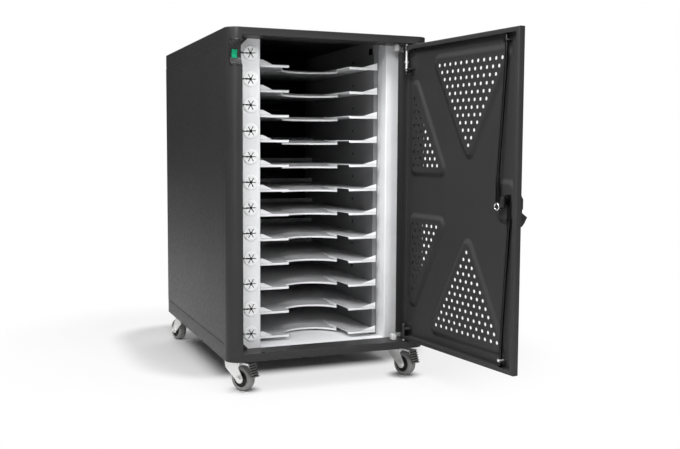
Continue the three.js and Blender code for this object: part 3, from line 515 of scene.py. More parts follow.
black = moulded("black_moulding", (0.011, 0.011, 0.0115, 1.0), 0.42)
FLANGE_Y0, FLANGE_Y1 = YB + SEAM, YB + SEAM + 2.5
well_rim = np.array([(-11, -7.5), (11, -7.5), (11, 3), (6.5, 7.5), (-6.5, 7.5), (-11, 3)])
well = slab(outline(well_rim + (INLET_X, INLET_Z), 1.2, 3), YB - 16, YB + 8, "y", SHARP)
socket = carved(block((INLET_X - half_w - 4, FLANGE_Y0, INLET_Z - half_h - 3),
                      (INLET_X + half_w + 4, FLANGE_Y1, INLET_Z + half_h + 3), "y", 4.0, 0.7), well)
barrel = carved(block((INLET_X - half_w + 1, YB - 24, INLET_Z - half_h + 1),
                      (INLET_X + half_w - 1, FLANGE_Y0, INLET_Z + half_h - 1), "y", 1.5, 0.3), well)
blades = [block((INLET_X + dx - 1, YB - 16.5, INLET_Z + dz - 2.5),
                (INLET_X + dx + 1, YB - 5, INLET_Z + dz + 2.5), "y", 0.4, 0.3)
          for dx, dz in ((-7, -2), (0, 2), (7, -2))]
inlet = piece("inlet_moulding", joined(socket, barrel), black)
inlet_blades = piece("inlet_blades", joined(*blades), zinc)
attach(inlet, "cabinet")
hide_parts("mains_inlet")
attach(inlet_blades, "cabinet")

# Bay floor, right post and cable strip: white powder-coated folded sheet round the device bays.
# The strip is punched with one keyhole for each bay, open to the lock side.
white = powder_coat("white_coat", (0.78, 0.785, 0.795, 1.0), 0.5, 0.16)
BAY_X0, BAY_X1 = XL + 80.0, XR - 72.5
SHELF_X0, SHELF_X1 = BAY_X0 + SEAM, BAY_X1 - 10.0
CAGE_Y1 = YB - 70.0
RETURN = 40.0
FLOOR_FOOT = BASE_Z + 1.8
STRIP_Z0, STRIP_Z1 = SILL - 6.0, HEAD + 6.0
floor_side = outline([(CAGE_Y, FLOOR_FOOT), (CAGE_Y + SHEET, FLOOR_FOOT), (CAGE_Y + SHEET, SILL - SHEET),
                      (CAGE_Y1 - SHEET, SILL - SHEET), (CAGE_Y1 - SHEET, FLOOR_FOOT), (CAGE_Y1, FLOOR_FOOT),
                      (CAGE_Y1, SILL), (CAGE_Y, SILL)], (0.2, 0.2, 0.5, 0.5, 0.2, 0.2, 1.8, 1.8), 5)
bay_floor = piece("bay_floor_sheet", joined(
    slab(floor_side, BAY_X0, SHELF_X1, "x", 0.3),
    block((SHELF_X1, CAGE_Y, SILL - SHEET), (BAY_X1, CAGE_Y + RETURN, SILL), "x", 0.6, 0.3),
), white)
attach(bay_floor, "cabinet")
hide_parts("bay_floor")

POST_X0, POST_X1 = BAY_X1 + SEAM, OPEN_R - SEAM
post_plan = outline([(POST_X0, CAGE_Y), (POST_X1, CAGE_Y), (POST_X1, CAGE_Y + SHEET),
                     (POST_X0 + SHEET, CAGE_Y + SHEET), (POST_X0 + SHEET, CAGE_Y + RETURN),
                     (POST_X0, CAGE_Y + RETURN)], (2.2, 0.2, 0.2, 0.7, 0.3, 0.3), 6)
post = piece("bay_post_sheet", slab(post_plan, STRIP_Z0, STRIP_Z1, "z", 0.3), white)
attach(post, "cabinet")
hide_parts("bay_post")

BAYS = 12
PITCH = 50.2
LOW_SHELF = FOOT + 28.8
shelf_tops = LOW_SHELF + PITCH * np.arange(BAYS)
GROMMET_X = XL + 60.0
GROMMET_Z = shelf_tops + 16.0
BORE = 11.8
STRIP_X0, STRIP_X1 = OPEN_L + SEAM, BAY_X0 - SEAM
BEND_X = STRIP_X1 - 2
SLIT_HALF = 1.6
mouth = math.asin(SLIT_HALF / BORE)
keyhole = np.vstack([[(STRIP_X0 - GROMMET_X, SLIT_HALF)],
                     arc(np.linspace(np.pi - mouth, -np.pi + mouth, 30), BORE),
                     [(STRIP_X0 - GROMMET_X, -SLIT_HALF)]])
keyholes = np.vstack([keyhole + (GROMMET_X, z) for z in GROMMET_Z[::-1]])
strip_rim = np.vstack([[(STRIP_X0, STRIP_Z1)], keyholes,
                       [(STRIP_X0, STRIP_Z0), (BEND_X, STRIP_Z0), (BEND_X, STRIP_Z1)]])
strip_fold = outline([(BEND_X, CAGE_Y), (STRIP_X1, CAGE_Y), (STRIP_X1, CAGE_Y + RETURN),
                      (STRIP_X1 - SHEET, CAGE_Y + RETURN), (STRIP_X1 - SHEET, CAGE_Y + SHEET),
                      (BEND_X, CAGE_Y + SHEET)], (SHARP, 1.9, 0.3, 0.3, 0.1, SHARP), 6)
strip = piece("cable_strip_sheet", joined(
    punched(strip_rim, [], CAGE_Y, CAGE_Y + SHEET, "y"),
    slab(strip_fold, STRIP_Z0, STRIP_Z1, "z", SHARP),
), white)
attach(strip, "cabinet")
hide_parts("cable_strip")

# Cable grommets: soft white rubber discs pressed into the strip, slit into six fingers.
# One slit runs out through the flange, so that a lead can be pushed in from the side.
def soft_rubber(name, colour, rough):
    """Soft rubber: a dull bloom over a slightly uneven colour."""
    material, tree, bsdf, coords = shader(name)
    bloom = noise(tree, coords, 120.0, 4.0)
    tree.links.new(ramp(tree, bloom, shaded(colour, 0.93), colour), bsdf.inputs["Base Color"])
    tree.links.new(ramp(tree, bloom, rough - 0.06, rough + 0.06), bsdf.inputs["Roughness"])
    relief(tree, bsdf, noise(tree, coords, 900.0, 2.0), 0.12, 0.0003)
    return material


grommet_white = soft_rubber("grommet_rubber", (0.9, 0.905, 0.91, 1.0), 0.62)
FACE_Y = CAGE_Y - SEAM
FINGERS, FINGER_T, FINGER_FACE, FINGER_SAG = 6, 0.8, 1.7, 0.6
MOUTH_HALF = 0.09
FLANGE_PROFILE = np.array([(10.4, 0.2), (10.4, -1.72), (12.2, -1.8), (13.9, -1.8), (14.7, -1.5),
                           (15.0, -0.8), (15.0, 0.0), (11.5, 0.0), (11.4, 3.2), (10.4, 3.2)])


def swept_arc(profile, start, stop, steps, centre):
    """A profile of (radius, depth) carried along an arc about a level axis, closed at both ends."""
    a = np.linspace(start, stop, steps)[:, None]
    r, d = profile[:, 0], profile[:, 1]
    rings = np.stack([centre[0] + r * np.cos(a), centre[1] + d + 0 * a, centre[2] + r * np.sin(a)], -1)
    return loft(rings)


def sheet_shell(face, back):
    """A grid surface given a thickness: a copy of it shifted by a vector, with walls along its rim."""
    n, m = face.shape[:2]
    verts = np.vstack([face.reshape(-1, 3), (face + np.asarray(back)).reshape(-1, 3)])
    i, j = np.meshgrid(np.arange(n - 1), np.arange(m - 1), indexing="ij")
    a = (i * m + j).ravel()
    quads = np.stack([a, a + 1, a + m + 1, a + m], -1)
    rim = np.concatenate([np.arange(m), np.arange(1, n) * m + m - 1, (n - 1) * m + np.arange(m - 2, -1, -1),
                          np.arange(n - 2, 0, -1) * m])
    after = np.roll(rim, -1)
    walls = np.stack([rim, rim + n * m, after + n * m, after], -1)
    return verts, quads.tolist() + (quads[:, ::-1] + n * m).tolist() + walls.tolist()


def finger(a0, a1, centre, lift):
    """One finger of the membrane: a wedge that sinks a little towards the middle of the grommet."""
    inner, outer, gap = 2.8, 10.38, 0.85
    r = np.linspace(inner, outer, 6)
    span = np.linspace(0, 1, 9)
    lean = np.arcsin(np.clip(gap / r, 0, 0.9))[:, None]
    a = a0 + lean + (a1 - a0 - 2 * lean) * span
    sag = FINGER_SAG * (1 - (r / outer) ** 2)[:, None] * (1 + lift) + 0 * a
    x, z = centre[0] + r[:, None] * np.cos(a), centre[2] + r[:, None] * np.sin(a)
    face = np.stack([x, centre[1] - FINGER_FACE + sag, z], -1)
    return sheet_shell(face, (0, FINGER_T, 0))


for k in range(BAYS):
    middle = np.array([GROMMET_X, FACE_Y, GROMMET_Z[BAYS - 1 - k]])
    opened = np.pi + 0.05 * ((BAYS - 1 - k) % 3 - 1)
    shells = [swept_arc(FLANGE_PROFILE, opened + MOUTH_HALF, opened + 2 * np.pi - MOUTH_HALF, 65, middle)]
    for n in range(FINGERS):
        a0 = opened + n * np.pi / 3 + (MOUTH_HALF if n == 0 else 0)
        a1 = opened + (n + 1) * np.pi / 3 - (MOUTH_HALF if n == FINGERS - 1 else 0)
        shells.append(finger(a0, a1, middle, 0.12 * ((n * 5 + k * 3) % 4)))
    grommet = piece(f"cable_grommet_{k + 1:02d}", joined(*shells), grommet_white, 50)
    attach(grommet, "cabinet")
    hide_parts(f"grommet_{k + 1:02d}")

# Shelves: twelve white folded trays, each with a left tongue, a right wing and a finger notch.
# The notch's rear edge slopes down to a dropped lip that is pressed to an arch, with a pressed wall
# at each of its ends. Their coat has painted shade: what lies level and faces up is greyed.
# Painted shade: the trays' upward-facing level faces are darkened, and the paler base keeps their upright
# fronts bright.
top_shaded_white = powder_coat("top_shaded_white", (0.9, 0.905, 0.915, 1.0), 0.5, 0.16, painted_tilt=-0.55)
NOTCH_X0, NOTCH_X1 = XL + 154.0, XL + 273.0
WING_X0 = NOTCH_X1 + 5.0
TONGUE_Y, WING_Y, RIDGE_Y = CAGE_Y + 44.0, CAGE_Y + 22.0, CAGE_Y + 154.0
SHELF_Y1 = CAGE_Y1 - 50.0
LIP_Y, LIP_DROP, LIP_BEND = RIDGE_Y - 32.0, 5.0, 1.6
EDGE_H, EAR_H, STOP_UP = 5.4, 9.3, 9.0
LEFT_EAR, LEFT_EAR_TOP, RIGHT_EAR = 38.0, 18.0, 32.0
ARCH_X = (NOTCH_X0 + NOTCH_X1) / 2
ARCH_HALF = (NOTCH_X1 - NOTCH_X0) / 2 - 1
ARCH_RISE = 33.0
ARCH_R = (ARCH_HALF ** 2 + ARCH_RISE ** 2) / (2 * ARCH_RISE)
LIP_REACH = {-1: ARCH_HALF, 1: ARCH_HALF + 3.5}


def thick_grid(face, thick):
    """A grid surface given a thickness along its own normals, which are the cross product of the
    two grid directions, with walls along its rim."""
    across = np.cross(np.gradient(face, axis=0), np.gradient(face, axis=1))
    across /= np.linalg.norm(across, axis=2, keepdims=True) + 1e-12
    return sheet_shell(face, across * thick)


def arch_front(x):
    """Depth of the lip's front edge at a distance from its middle: part of a circle in plan."""
    return LIP_Y - ARCH_R + np.sqrt(ARCH_R ** 2 - x ** 2)


def lip_fall(top):
    """The lip's S: depths and heights of a smooth step from the ridge down to the level part."""
    s = np.linspace(0, 1, 7)
    return RIDGE_Y + (LIP_Y + 2 - RIDGE_Y) * s, top - LIP_DROP * (3 * s ** 2 - 2 * s ** 3)


def arched_lip(top):
    """The dropped lip: for each x, a line runs down from the ridge in an S, level to the arch,
    then round a small bend to the lower edge."""
    x = np.linspace(ARCH_X - LIP_REACH[-1], ARCH_X + LIP_REACH[1], 41)[:, None]
    front = arch_front(x - ARCH_X)
    y_fall, z_fall = lip_fall(top)
    bend = np.linspace(0, np.pi / 2, 5)
    y = np.hstack([np.tile(np.r_[RIDGE_Y + 1.5, y_fall], (len(x), 1)),
                   front + LIP_BEND - LIP_BEND * np.sin(bend), front])
    z_line = np.r_[top, z_fall, top - LIP_DROP - LIP_BEND * (1 - np.cos(bend)), top - LIP_DROP - EDGE_H + 1]
    face = np.stack([np.tile(x, (1, len(z_line))), y, np.tile(z_line, (len(x), 1))], -1)
    return thick_grid(face, THIN)


def lip_end(top, side):
    """The pressed wall at one end of the lip: at each depth a straight line runs from the lip's S up to
    the tray's edge beside it. The right edge flares towards the front."""
    y_fall, z_fall = lip_fall(top)
    y = np.r_[y_fall, arch_front(LIP_REACH[side]) + LIP_BEND]
    low = np.r_[z_fall, top - LIP_DROP][:, None]
    inner = ARCH_X + side * (LIP_REACH[side] - 0.5)
    spread = max(side, 0) * (WING_X0 - NOTCH_X1) * (RIDGE_Y - y) / (RIDGE_Y - WING_Y)
    outer = (ARCH_X + side * (ARCH_HALF + 1.5) + spread)[:, None]
    rise = np.linspace(0, 1, 4)
    height = low + (top - 0.1 - low) * rise
    face = np.stack([inner + (outer - inner) * rise, np.tile(y[:, None], 4), height], -1)
    return thick_grid(face[::-side], THIN)


def shelf(top):
    """One shelf: flat tray, two folded front edges with rising ears, the arched lip and a rear stop."""
    tray = outline([(SHELF_X0, TONGUE_Y), (NOTCH_X0, TONGUE_Y), (NOTCH_X0, RIDGE_Y), (NOTCH_X1, RIDGE_Y),
                    (WING_X0, WING_Y), (SHELF_X1, WING_Y), (SHELF_X1, SHELF_Y1), (SHELF_X0, SHELF_Y1)],
                   (0.3, 3.0, 2.0, 2.0, 3.0, 0.3, 1.0, 1.0), 4)
    tongue = outline([(SHELF_X0, top - EDGE_H), (NOTCH_X0, top - EDGE_H), (NOTCH_X0, top),
                      (SHELF_X0 + LEFT_EAR, top), (SHELF_X0 + LEFT_EAR_TOP, top + EAR_H),
                      (SHELF_X0, top + EAR_H)], (0.3, 1.5, 0.5, 7.0, 5.0, 0.6), 4)
    wing = outline([(WING_X0, top - EDGE_H), (SHELF_X1, top - EDGE_H), (SHELF_X1, top + EAR_H),
                    (SHELF_X1 - RIGHT_EAR, top), (WING_X0, top)], (1.5, 0.3, 0.6, 12.0, 0.5), 4)
    return joined(
        slab(tray, top - THIN, top, "z", 0.25, 2),
        slab(tongue, TONGUE_Y, TONGUE_Y + THIN, "y", 0.3, 2),
        slab(wing, WING_Y, WING_Y + THIN, "y", 0.3, 2),
        arched_lip(top),
        lip_end(top, -1),
        lip_end(top, 1),
        block((SHELF_X0, SHELF_Y1 - THIN, top - THIN), (SHELF_X1, SHELF_Y1, top + STOP_UP),
              "y", 1.0, 0.25, 2),
    )


for k in range(BAYS):
    tray = piece(f"shelf_tray_{k + 1:02d}", shelf(shelf_tops[BAYS - 1 - k]), top_shaded_white)
    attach(tray, "cabinet")
    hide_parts(f"shelf_{k + 1:02d}")

# Inner walls and power strip: dark sheets beside the bays and the outlet bar behind them.
# They are plain folded or moulded pieces, so the solids stay and take their finish.
wall_coat = powder_coat("wall_coat", (0.2, 0.2, 0.205, 1.0), 0.4, gloss=0.5)
for node, finish in (("cable_wall", wall_coat), ("shelf_wall", wall_coat), ("power_strip", black)):
    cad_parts[node].data.materials.clear()
    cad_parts[node].data.materials.append(finish)

# Switch pocket: black moulded scoop let into the left post, open towards the doorway.
# A small lit rocker switch snaps into its floor and tilts on a pin.
SCOOP_FLOOR = YF + 11.5
POCKET_X0, POCKET_X1 = SWITCH_X0 + SEAM, OPEN_L - SEAM
POCKET_Z0, POCKET_Z1, POCKET_Y1 = SWITCH_Z0 + SEAM, SWITCH_Z1 - SEAM, YF + 14.7
POCKET_T, ROCK_GAP = 2.0, 0.6
ROCK_X, ROCK_Z, ROCK_W, ROCK_H = -194.5, TOP - 50.0, 10.5, 17.0
face_x = np.linspace(POCKET_X0, POCKET_X1, 14)
face_y = YF + 0.2 + CORNER_R - np.sqrt(CORNER_R ** 2 - np.minimum(face_x - XL - CORNER_R, 0) ** 2)
pocket_plan = np.vstack([np.stack([face_x, face_y], -1), [(POCKET_X1, POCKET_Y1), (POCKET_X0, POCKET_Y1)]])
rock_x = (ROCK_X - ROCK_W / 2, ROCK_X + ROCK_W / 2)
rock_z = (ROCK_Z - ROCK_H / 2, ROCK_Z + ROCK_H / 2)
scoop = outline([(YF - 30, POCKET_Z0 + POCKET_T), (YF + 3.2, POCKET_Z0 + POCKET_T),
                 (SCOOP_FLOOR, POCKET_Z0 + 17), (SCOOP_FLOOR + 2, POCKET_Z1 - POCKET_T),
                 (YF - 30, POCKET_Z1 - POCKET_T)], (0.1, 7.0, 9.0, 1.0, 0.1), 8)
glossy_black = moulded("glossy_black", (0.012, 0.012, 0.0125, 1.0), 0.28, depth=0.01)
pocket = piece("switch_scoop", carved(
    slab(pocket_plan, POCKET_Z0, POCKET_Z1, "z", 0.3),
    slab(scoop, POCKET_X0 + POCKET_T, POCKET_X1 + 6, "x", SHARP),
    block((rock_x[0] - ROCK_GAP, YF, rock_z[0] - ROCK_GAP),
          (rock_x[1] + ROCK_GAP, YF + 40, rock_z[1] + ROCK_GAP), "y", 1.0, SHARP),
), glossy_black)
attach(pocket, "cabinet")
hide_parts("switch_pocket")


def lit_plastic(name, colour, glow):
    """Tinted plastic lit from behind: it glows in uneven patches of one colour, with a dull gloss."""
    material, tree, bsdf, coords = shader(name)
    patch = noise(tree, coords, 260.0, 2.0)
    tint = ramp(tree, patch, shaded(colour, 0.5), colour, 0.2, 0.6)
    tree.links.new(tint, bsdf.inputs["Base Color"])
    tree.links.new(tint, bsdf.inputs["Emission Color"])
    bsdf.inputs["Emission Strength"].default_value = glow
    bsdf.inputs["Roughness"].default_value = 0.45
    bsdf.inputs["Specular IOR Level"].default_value = 0.1
    return material


lamp = lit_plastic("green_lamp", (0.006, 0.24, 0.12, 1.0), 0.36)
s = np.linspace(0, 1, 12)
rock_depth = SCOOP_FLOOR - 1.2 - 2.0 * s ** 2 + 0.9 * np.sin(np.pi * s)
rock_face = np.stack([rock_depth, rock_z[0] + 0.5 + (ROCK_H - 1.2) * s], -1)
rocker_side = np.vstack([rock_face, [(SCOOP_FLOOR + 1, rock_z[1] - 1.2), (SCOOP_FLOOR + 1, rock_z[0] + 1)]])
rocker = piece("switch_key", slab(rocker_side, *rock_x, "x", 0.6), lamp, 40)
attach(rocker, "rocker")
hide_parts("switch_rocker")

# Door stops: two small light grey moulded buffers, one under the head rail and one on the sill.
# They are fixed in the doorway, just behind the shut door, and keep it from being pushed in.
grey = moulded("grey_moulding", (0.56, 0.56, 0.56, 1.0), 0.5)
STOP_X, STOP_Y, STOP_W, STOP_D, STOP_H = 148.0, YF + 16.3, 9.0, 14.0, 12.0
for name, low, high in (("top", HEAD - STOP_H, HEAD - SEAM), ("bottom", SILL + SEAM, SILL + STOP_H)):
    buffer = block((STOP_X - STOP_W / 2, STOP_Y, low), (STOP_X + STOP_W / 2, STOP_Y + STOP_D, high),
                   "y", 1.2, 1.0, 4)
    stop = piece(f"door_buffer_{name}", buffer, grey)
    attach(stop, "cabinet")
    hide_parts(f"stop_{name}")

# Door: one coated steel pan. Its face is pressed inwards in four perforated triangles and a lock dish,
# its edges are folded, and a web stiffens the hinge side. Tabs on the inside hold the pins and the rods.
SWING = math.radians(97.35 - 180)
DOOR_U0, DOOR_U1, DOOR_Z0, DOOR_Z1 = -10.0, PIVOT_X - OPEN_L - 2.5, SILL + 2.5, HEAD - 2.5
DOOR_OUT, DOOR_IN, DOOR_MID = 11.3, -2.0, (SILL + HEAD) / 2
EMBOSS, HOLE_R, SPINDLE_HOLE = 3.5, 3.5, 4.0
ROWS = 12
BIG_U0, BIG_TOP, BIG_PITCH, BIG_ROW = 104.5, 254.0, 16.95, 13.98
HALF_U0, HALF_LOW, HALF_PITCH, HALF_ROW = 19.2, 60.3, 16.2, 13.35


def on_door(shell):
    """Points drawn about the pivot line (u along the door, y outwards, z up), swung to the open door."""
    verts, faces = shell
    u, y, z = np.asarray(verts, float).T
    x = PIVOT_X + u * math.cos(SWING) - y * math.sin(SWING)
    return np.stack([x, PIVOT_Y + u * math.sin(SWING) + y * math.cos(SWING), z], -1), faces


def hole_row(count, first, pitch, shift, level):
    """Middles of one row of holes: evenly spaced from a first place, all shifted by a share of the pitch."""
    return np.stack([first + pitch * (np.arange(count) + shift), np.full(count, level)], -1)


big_holes = np.vstack([hole_row(ROWS - r, BIG_U0, BIG_PITCH, r / 2, BIG_TOP - BIG_ROW * r)
                       for r in range(ROWS)])
half_holes = np.vstack([hole_row((ROWS - r) // 2, HALF_U0, HALF_PITCH, r % 2 / 2, HALF_LOW + HALF_ROW * r)
                        for r in range(ROWS - 1)])
upper_holes = np.vstack([big_holes, half_holes])
door_holes = np.vstack([upper_holes, upper_holes * (1, -1)])
tip_u = BIG_U0 + BIG_PITCH * (ROWS - 1) / 2
big_field = np.array([(74.5, 274), (2 * tip_u - 74.5, 274), (tip_u, 62)])
half_field = np.array([(6, 40.3), (HALF_U0 + HALF_PITCH * 5 + 34, 40.3), (6, 272.3)])
DISH_L, DISH_R, DISH_LOW, DISH_HIGH = SPINDLE_U - 22, SPINDLE_U + 22, -36.0, 38.0
dish = np.array([(DISH_L, DISH_LOW), (DISH_R, DISH_LOW), (DISH_R, DISH_HIGH), (DISH_L, DISH_HIGH)])
fields = [big_field, big_field[::-1] * (1, -1), half_field, half_field[::-1] * (1, -1), dish]
RISE_STEPS = np.array([-5.5, -4.0, -2.5, -0.7, 1.5, 3.7, 5.5, 7.0, 8.5])
RISE_FROM, RISE_TO, FIELD_R = -4.0, 7.0, 15.0
rise = np.clip((RISE_STEPS - RISE_FROM) / (RISE_TO - RISE_FROM), 0, 1)
rise = EMBOSS * (3 * rise ** 2 - 2 * rise ** 3)
OUT_R, IN_R, FOLD_IN = 2.2, 1.6, 8.5
border = rounded(DOOR_U0 + OUT_R, DOOR_Z0 + OUT_R - DOOR_MID, DOOR_U1 - OUT_R, DOOR_Z1 - OUT_R - DOOR_MID,
                 0.5, 2)
loops, depths = [border], [np.zeros(len(border))]
for field in fields:
    for step, depth in zip(RISE_STEPS, rise):
        loop = outline(inset(field.astype(float), step, 0.1), FIELD_R - step, 9)
        loops.append(loop)
        depths.append(np.full(len(loop), depth))
HOLE_SIDES = 16
circle = arc(full_turn(HOLE_SIDES))
centres = np.vstack([door_holes, [(SPINDLE_U, 0)]])
radii = np.r_[np.full(len(door_holes), HOLE_R), SPINDLE_HOLE]
rims = centres[:, None] + radii[:, None, None] * circle
loops += list(rims)
depths += [np.full(HOLE_SIDES, EMBOSS)] * len(rims)
corners = [Vector(p) for p in np.vstack(loops)]
net_points, _, net_faces, origin_rows, *_ = delaunay_2d_cdt(corners, loop_edges(loops), [], 1, 1e-5)
flat = np.array([tuple(p) for p in net_points])
sunk = np.concatenate(depths)[np.array([rows_of[0] for rows_of in origin_rows])]
net_faces = np.array(net_faces)
middles = flat[net_faces].mean(1)
open_face = (np.linalg.norm(middles[:, None] - centres[None], axis=2) < radii * 0.99).any(1)
flat[:, 1] += DOOR_MID
skin = walled(flat, net_faces[~open_face], DOOR_OUT - THIN - sunk, DOOR_OUT - sunk, "y")

bend = np.linspace(0, np.pi / 2, 6)
edge_out = np.vstack([
    [(OUT_R, DOOR_OUT)],
    np.stack([OUT_R - OUT_R * np.sin(bend), DOOR_OUT - OUT_R + OUT_R * np.cos(bend)], -1)[1:],
    np.stack([IN_R - IN_R * np.cos(bend), DOOR_IN + IN_R - IN_R * np.sin(bend)], -1),
    [(FOLD_IN, DOOR_IN), (FOLD_IN, DOOR_IN + THIN), (IN_R, DOOR_IN + THIN), (THIN, DOOR_IN + IN_R)],
    np.stack([OUT_R - np.sin(bend[::-1]), DOOR_OUT - OUT_R + np.cos(bend[::-1])], -1),
])
hinge_edge = np.vstack([edge_out[:6], [(0, DOOR_IN + THIN), (THIN, DOOR_IN + THIN)], edge_out[-6:]])
stations = np.array([(DOOR_U0, DOOR_Z1), (DOOR_U1, DOOR_Z1), (DOOR_U1, DOOR_Z0), (DOOR_U0, DOOR_Z0)])
inward = np.array([(0, -1), (-1, -1), (-1, 1), (0, 1)])


def folded_edge(profile, corners, ways):
    """An edge profile of (inwards, y) carried along corners, mitred where two edges meet."""
    uz = corners[:, None] + profile[None, :, :1] * ways[:, None]
    return loft(np.stack([uz[..., 0], np.tile(profile[:, 1], (len(corners), 1)), uz[..., 1]], -1))


rim_edge = folded_edge(edge_out, stations, inward)
cove_t = np.linspace(0, np.pi / 2, 10)
COVE_W, COVE_H = 11.2, 9.2
cove = np.vstack([np.stack([12 - COVE_W * np.sin(cove_t), 1.3 + COVE_H * np.cos(cove_t)], -1), [(0.8, 10.5)]])
inner_bend = folded_edge(cove, stations, inward)
hinge_line = np.array([(DOOR_U0, DOOR_Z0 + 2.3), (DOOR_U0, DOOR_Z1 - 2.3)])
hinge_side = folded_edge(hinge_edge, hinge_line, np.array([(1, 0), (1, 0)]))
ROD_R, PIN_R = 3.0, 2.5
GUIDE_HIGH, GUIDE_LOW = DOOR_Z1 - 20, DOOR_Z0 + 20
TAB_FOOT = 12.0
TAB_R = (5.0, 5.0, 0.3, 0.3)
fittings = []
for z in (DOOR_Z1 - 9, DOOR_Z1 - 48, DOOR_Z0 + 24):
    tab = rounded(-6, DOOR_IN - 2.5, 17, DOOR_OUT - THIN, TAB_R)
    fittings.append(punched(tab, [(PIN_R + 0.3) * circle], z - 1, z + 1, "z"))
    low, high = sorted((z, z - TAB_FOOT if z > DOOR_MID else z + TAB_FOOT))
    fittings.append(block((-4, DOOR_OUT - THIN - 1.6, low), (15, DOOR_OUT - THIN, high), "y", 2.0, 0.3))
for z in (GUIDE_HIGH, GUIDE_LOW):
    guide = rounded(SPINDLE_U - 9, ROD_SET - 5.5, SPINDLE_U + 9, DOOR_OUT - THIN, TAB_R)
    fittings.append(punched(guide, [(ROD_R + 0.5) * circle + (SPINDLE_U, ROD_SET)], z - 1.2, z + 1.2, "z"))
WEB_U, WEB_END = DOOR_U0 + 0.15, 13.0
fittings.append(block((WEB_U, DOOR_IN - 12, DOOR_Z0 + WEB_END),
                      (WEB_U + THIN, DOOR_IN + 5, DOOR_Z1 - WEB_END), "x", 4.0, 0.4))
# Painted light and shade: faces of the pressings that tilt upwards are painted paler, and those that tilt
# downwards darker.
door_coat = powder_coat("door_coat", COAT, 0.38, gloss=0.25, painted_tilt=0.9)
door = piece("door_pan", on_door(joined(skin, rim_edge, inner_bend, hinge_side, *fittings)), door_coat, 30)
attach(door, "door")
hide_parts("door_panel")

# Hinge pins: plated steel. The upper one slides against a spring and has a bent finger grip,
# so that the door lifts off; the lower one is fixed in its tab by a collar.
AXIS_R = 0.02


def chamfered(radius, low, high, tip=0.9):
    """Profile of a round bar with chamfered ends, as (radius, height)."""
    return [(AXIS_R, low), (radius - tip, low), (radius, low + tip),
            (radius, high - tip), (radius - tip, high), (AXIS_R, high)]


def tube(path, radius, sides=18):
    """A round bar carried along a smooth path. Each ring lies across the path's own direction, and
    its first spoke stays as near as it can to one fixed direction."""
    path = np.asarray(path, float)
    ahead = np.gradient(path, axis=0)
    ahead /= np.linalg.norm(ahead, axis=1, keepdims=True)
    hint = np.array([0.0, 1.0, 0.0])
    first = hint - (ahead @ hint)[:, None] * ahead
    first /= np.linalg.norm(first, axis=1, keepdims=True)
    second = np.cross(ahead, first)
    a = full_turn(sides)[None, :, None]
    r = np.broadcast_to(np.asarray(radius, float), len(path))[:, None, None]
    return loft(path[:, None] + r * (np.cos(a) * first[:, None] + np.sin(a) * second[:, None]))


PIVOT_LINE = ((0, 0, 0), (0, 0, 1), 28)
PIN_TOP, PIN_LOW = HEAD + 4.0, DOOR_Z1 - 56.0
PIN_GRIP_Z, GRIP_BEND = PIN_LOW - 3.2, 4.0
quarter = np.linspace(0, np.pi / 2, 9)
grip_x, grip_z = GRIP_BEND - GRIP_BEND * np.cos(quarter), PIN_GRIP_Z + GRIP_BEND - GRIP_BEND * np.sin(quarter)
grip = np.vstack([[(0, 0, PIN_LOW + 12), (0, 0, PIN_LOW + 4)], np.stack([grip_x, 0 * quarter, grip_z], -1),
                  [(9, 0, PIN_GRIP_Z), (14.6, 0, PIN_GRIP_Z), (15.0, 0, PIN_GRIP_Z)]])
grip_r = np.full(len(grip), 1.9)
grip_r[-1] = 1.3
plunger = piece("hinge_plunger", on_door(joined(
    turned(chamfered(PIN_R, PIN_LOW + 4, PIN_TOP), *PIVOT_LINE),
    turned(chamfered(PIN_R + 1.6, PIN_LOW + 21, PIN_LOW + 24, 0.4), *PIVOT_LINE),
)), zinc, 40)
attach(plunger, "plunger")
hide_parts("hinge_pin_top")
finger_grip = piece("plunger_grip", on_door(tube(grip, grip_r)), black, 40)
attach(finger_grip, "plunger")
lower_pin = piece("hinge_pin_fixed", on_door(joined(
    turned(chamfered(PIN_R, SILL - 4, DOOR_Z0 + 32), *PIVOT_LINE),
    turned(chamfered(PIN_R + 1.6, DOOR_Z0 + 25.3, DOOR_Z0 + 28, 0.4), *PIVOT_LINE),
)), zinc, 40)
sleeve = [(PIN_R + 0.15, DOOR_Z0 + 1), (PIN_R + 1.5, DOOR_Z0 + 1), (PIN_R + 1.9, DOOR_Z0 + 2),
          (PIN_R + 1.9, DOOR_Z0 + 22.6), (PIN_R + 0.15, DOOR_Z0 + 22.6)]
cap = [(PIN_R + 1.8, DOOR_Z0 + 25.3), (PIN_R + 2.4, DOOR_Z0 + 25.3), (PIN_R + 2.4, DOOR_Z0 + 31),
       (PIN_R + 1.2, DOOR_Z0 + 33), (AXIS_R, DOOR_Z0 + 33.4), (AXIS_R, DOOR_Z0 + 32.2),
       (PIN_R + 1.8, DOOR_Z0 + 30)]
bush = piece("hinge_bush", on_door(joined(turned(sleeve, *PIVOT_LINE), turned(cap, *PIVOT_LINE))), black, 40)
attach(bush, "door")
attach(lower_pin, "door")
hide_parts("hinge_pin_bottom")

# Lock housing and lever: black mouldings on the outside of the door.
# The lever turns a spindle that goes through the housing and the door's lock dish.
HOUSE_Y0 = DOOR_OUT + SEAM
HOUSE_HALF, HOUSE_LOW, HOUSE_HIGH, HOUSE_R = 17.0, -36.0, 24.0, 8.0
HOUSE_WALL, HOUSE_DOME, HOUSE_SHRINK = 3.0, 4.0, 3.4
house_rings = []
for t in np.linspace(0, np.pi / 2, 6):
    shrunk = HOUSE_SHRINK * (1 - np.cos(t))
    shield = rounded(SPINDLE_U - HOUSE_HALF + shrunk, HOUSE_LOW + shrunk, SPINDLE_U + HOUSE_HALF - shrunk,
                     HOUSE_HIGH - shrunk, HOUSE_R - shrunk / 2, 8)
    house_rings.append(laid(shield + (0, DOOR_MID), HOUSE_Y0 + HOUSE_WALL + HOUSE_DOME * np.sin(t), "y"))
house_rings.insert(0, house_rings[0] - (0, HOUSE_WALL, 0))
housing = piece("lock_shield", on_door(loft(house_rings)), black, 40)
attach(housing, "door")
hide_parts("lock_housing")
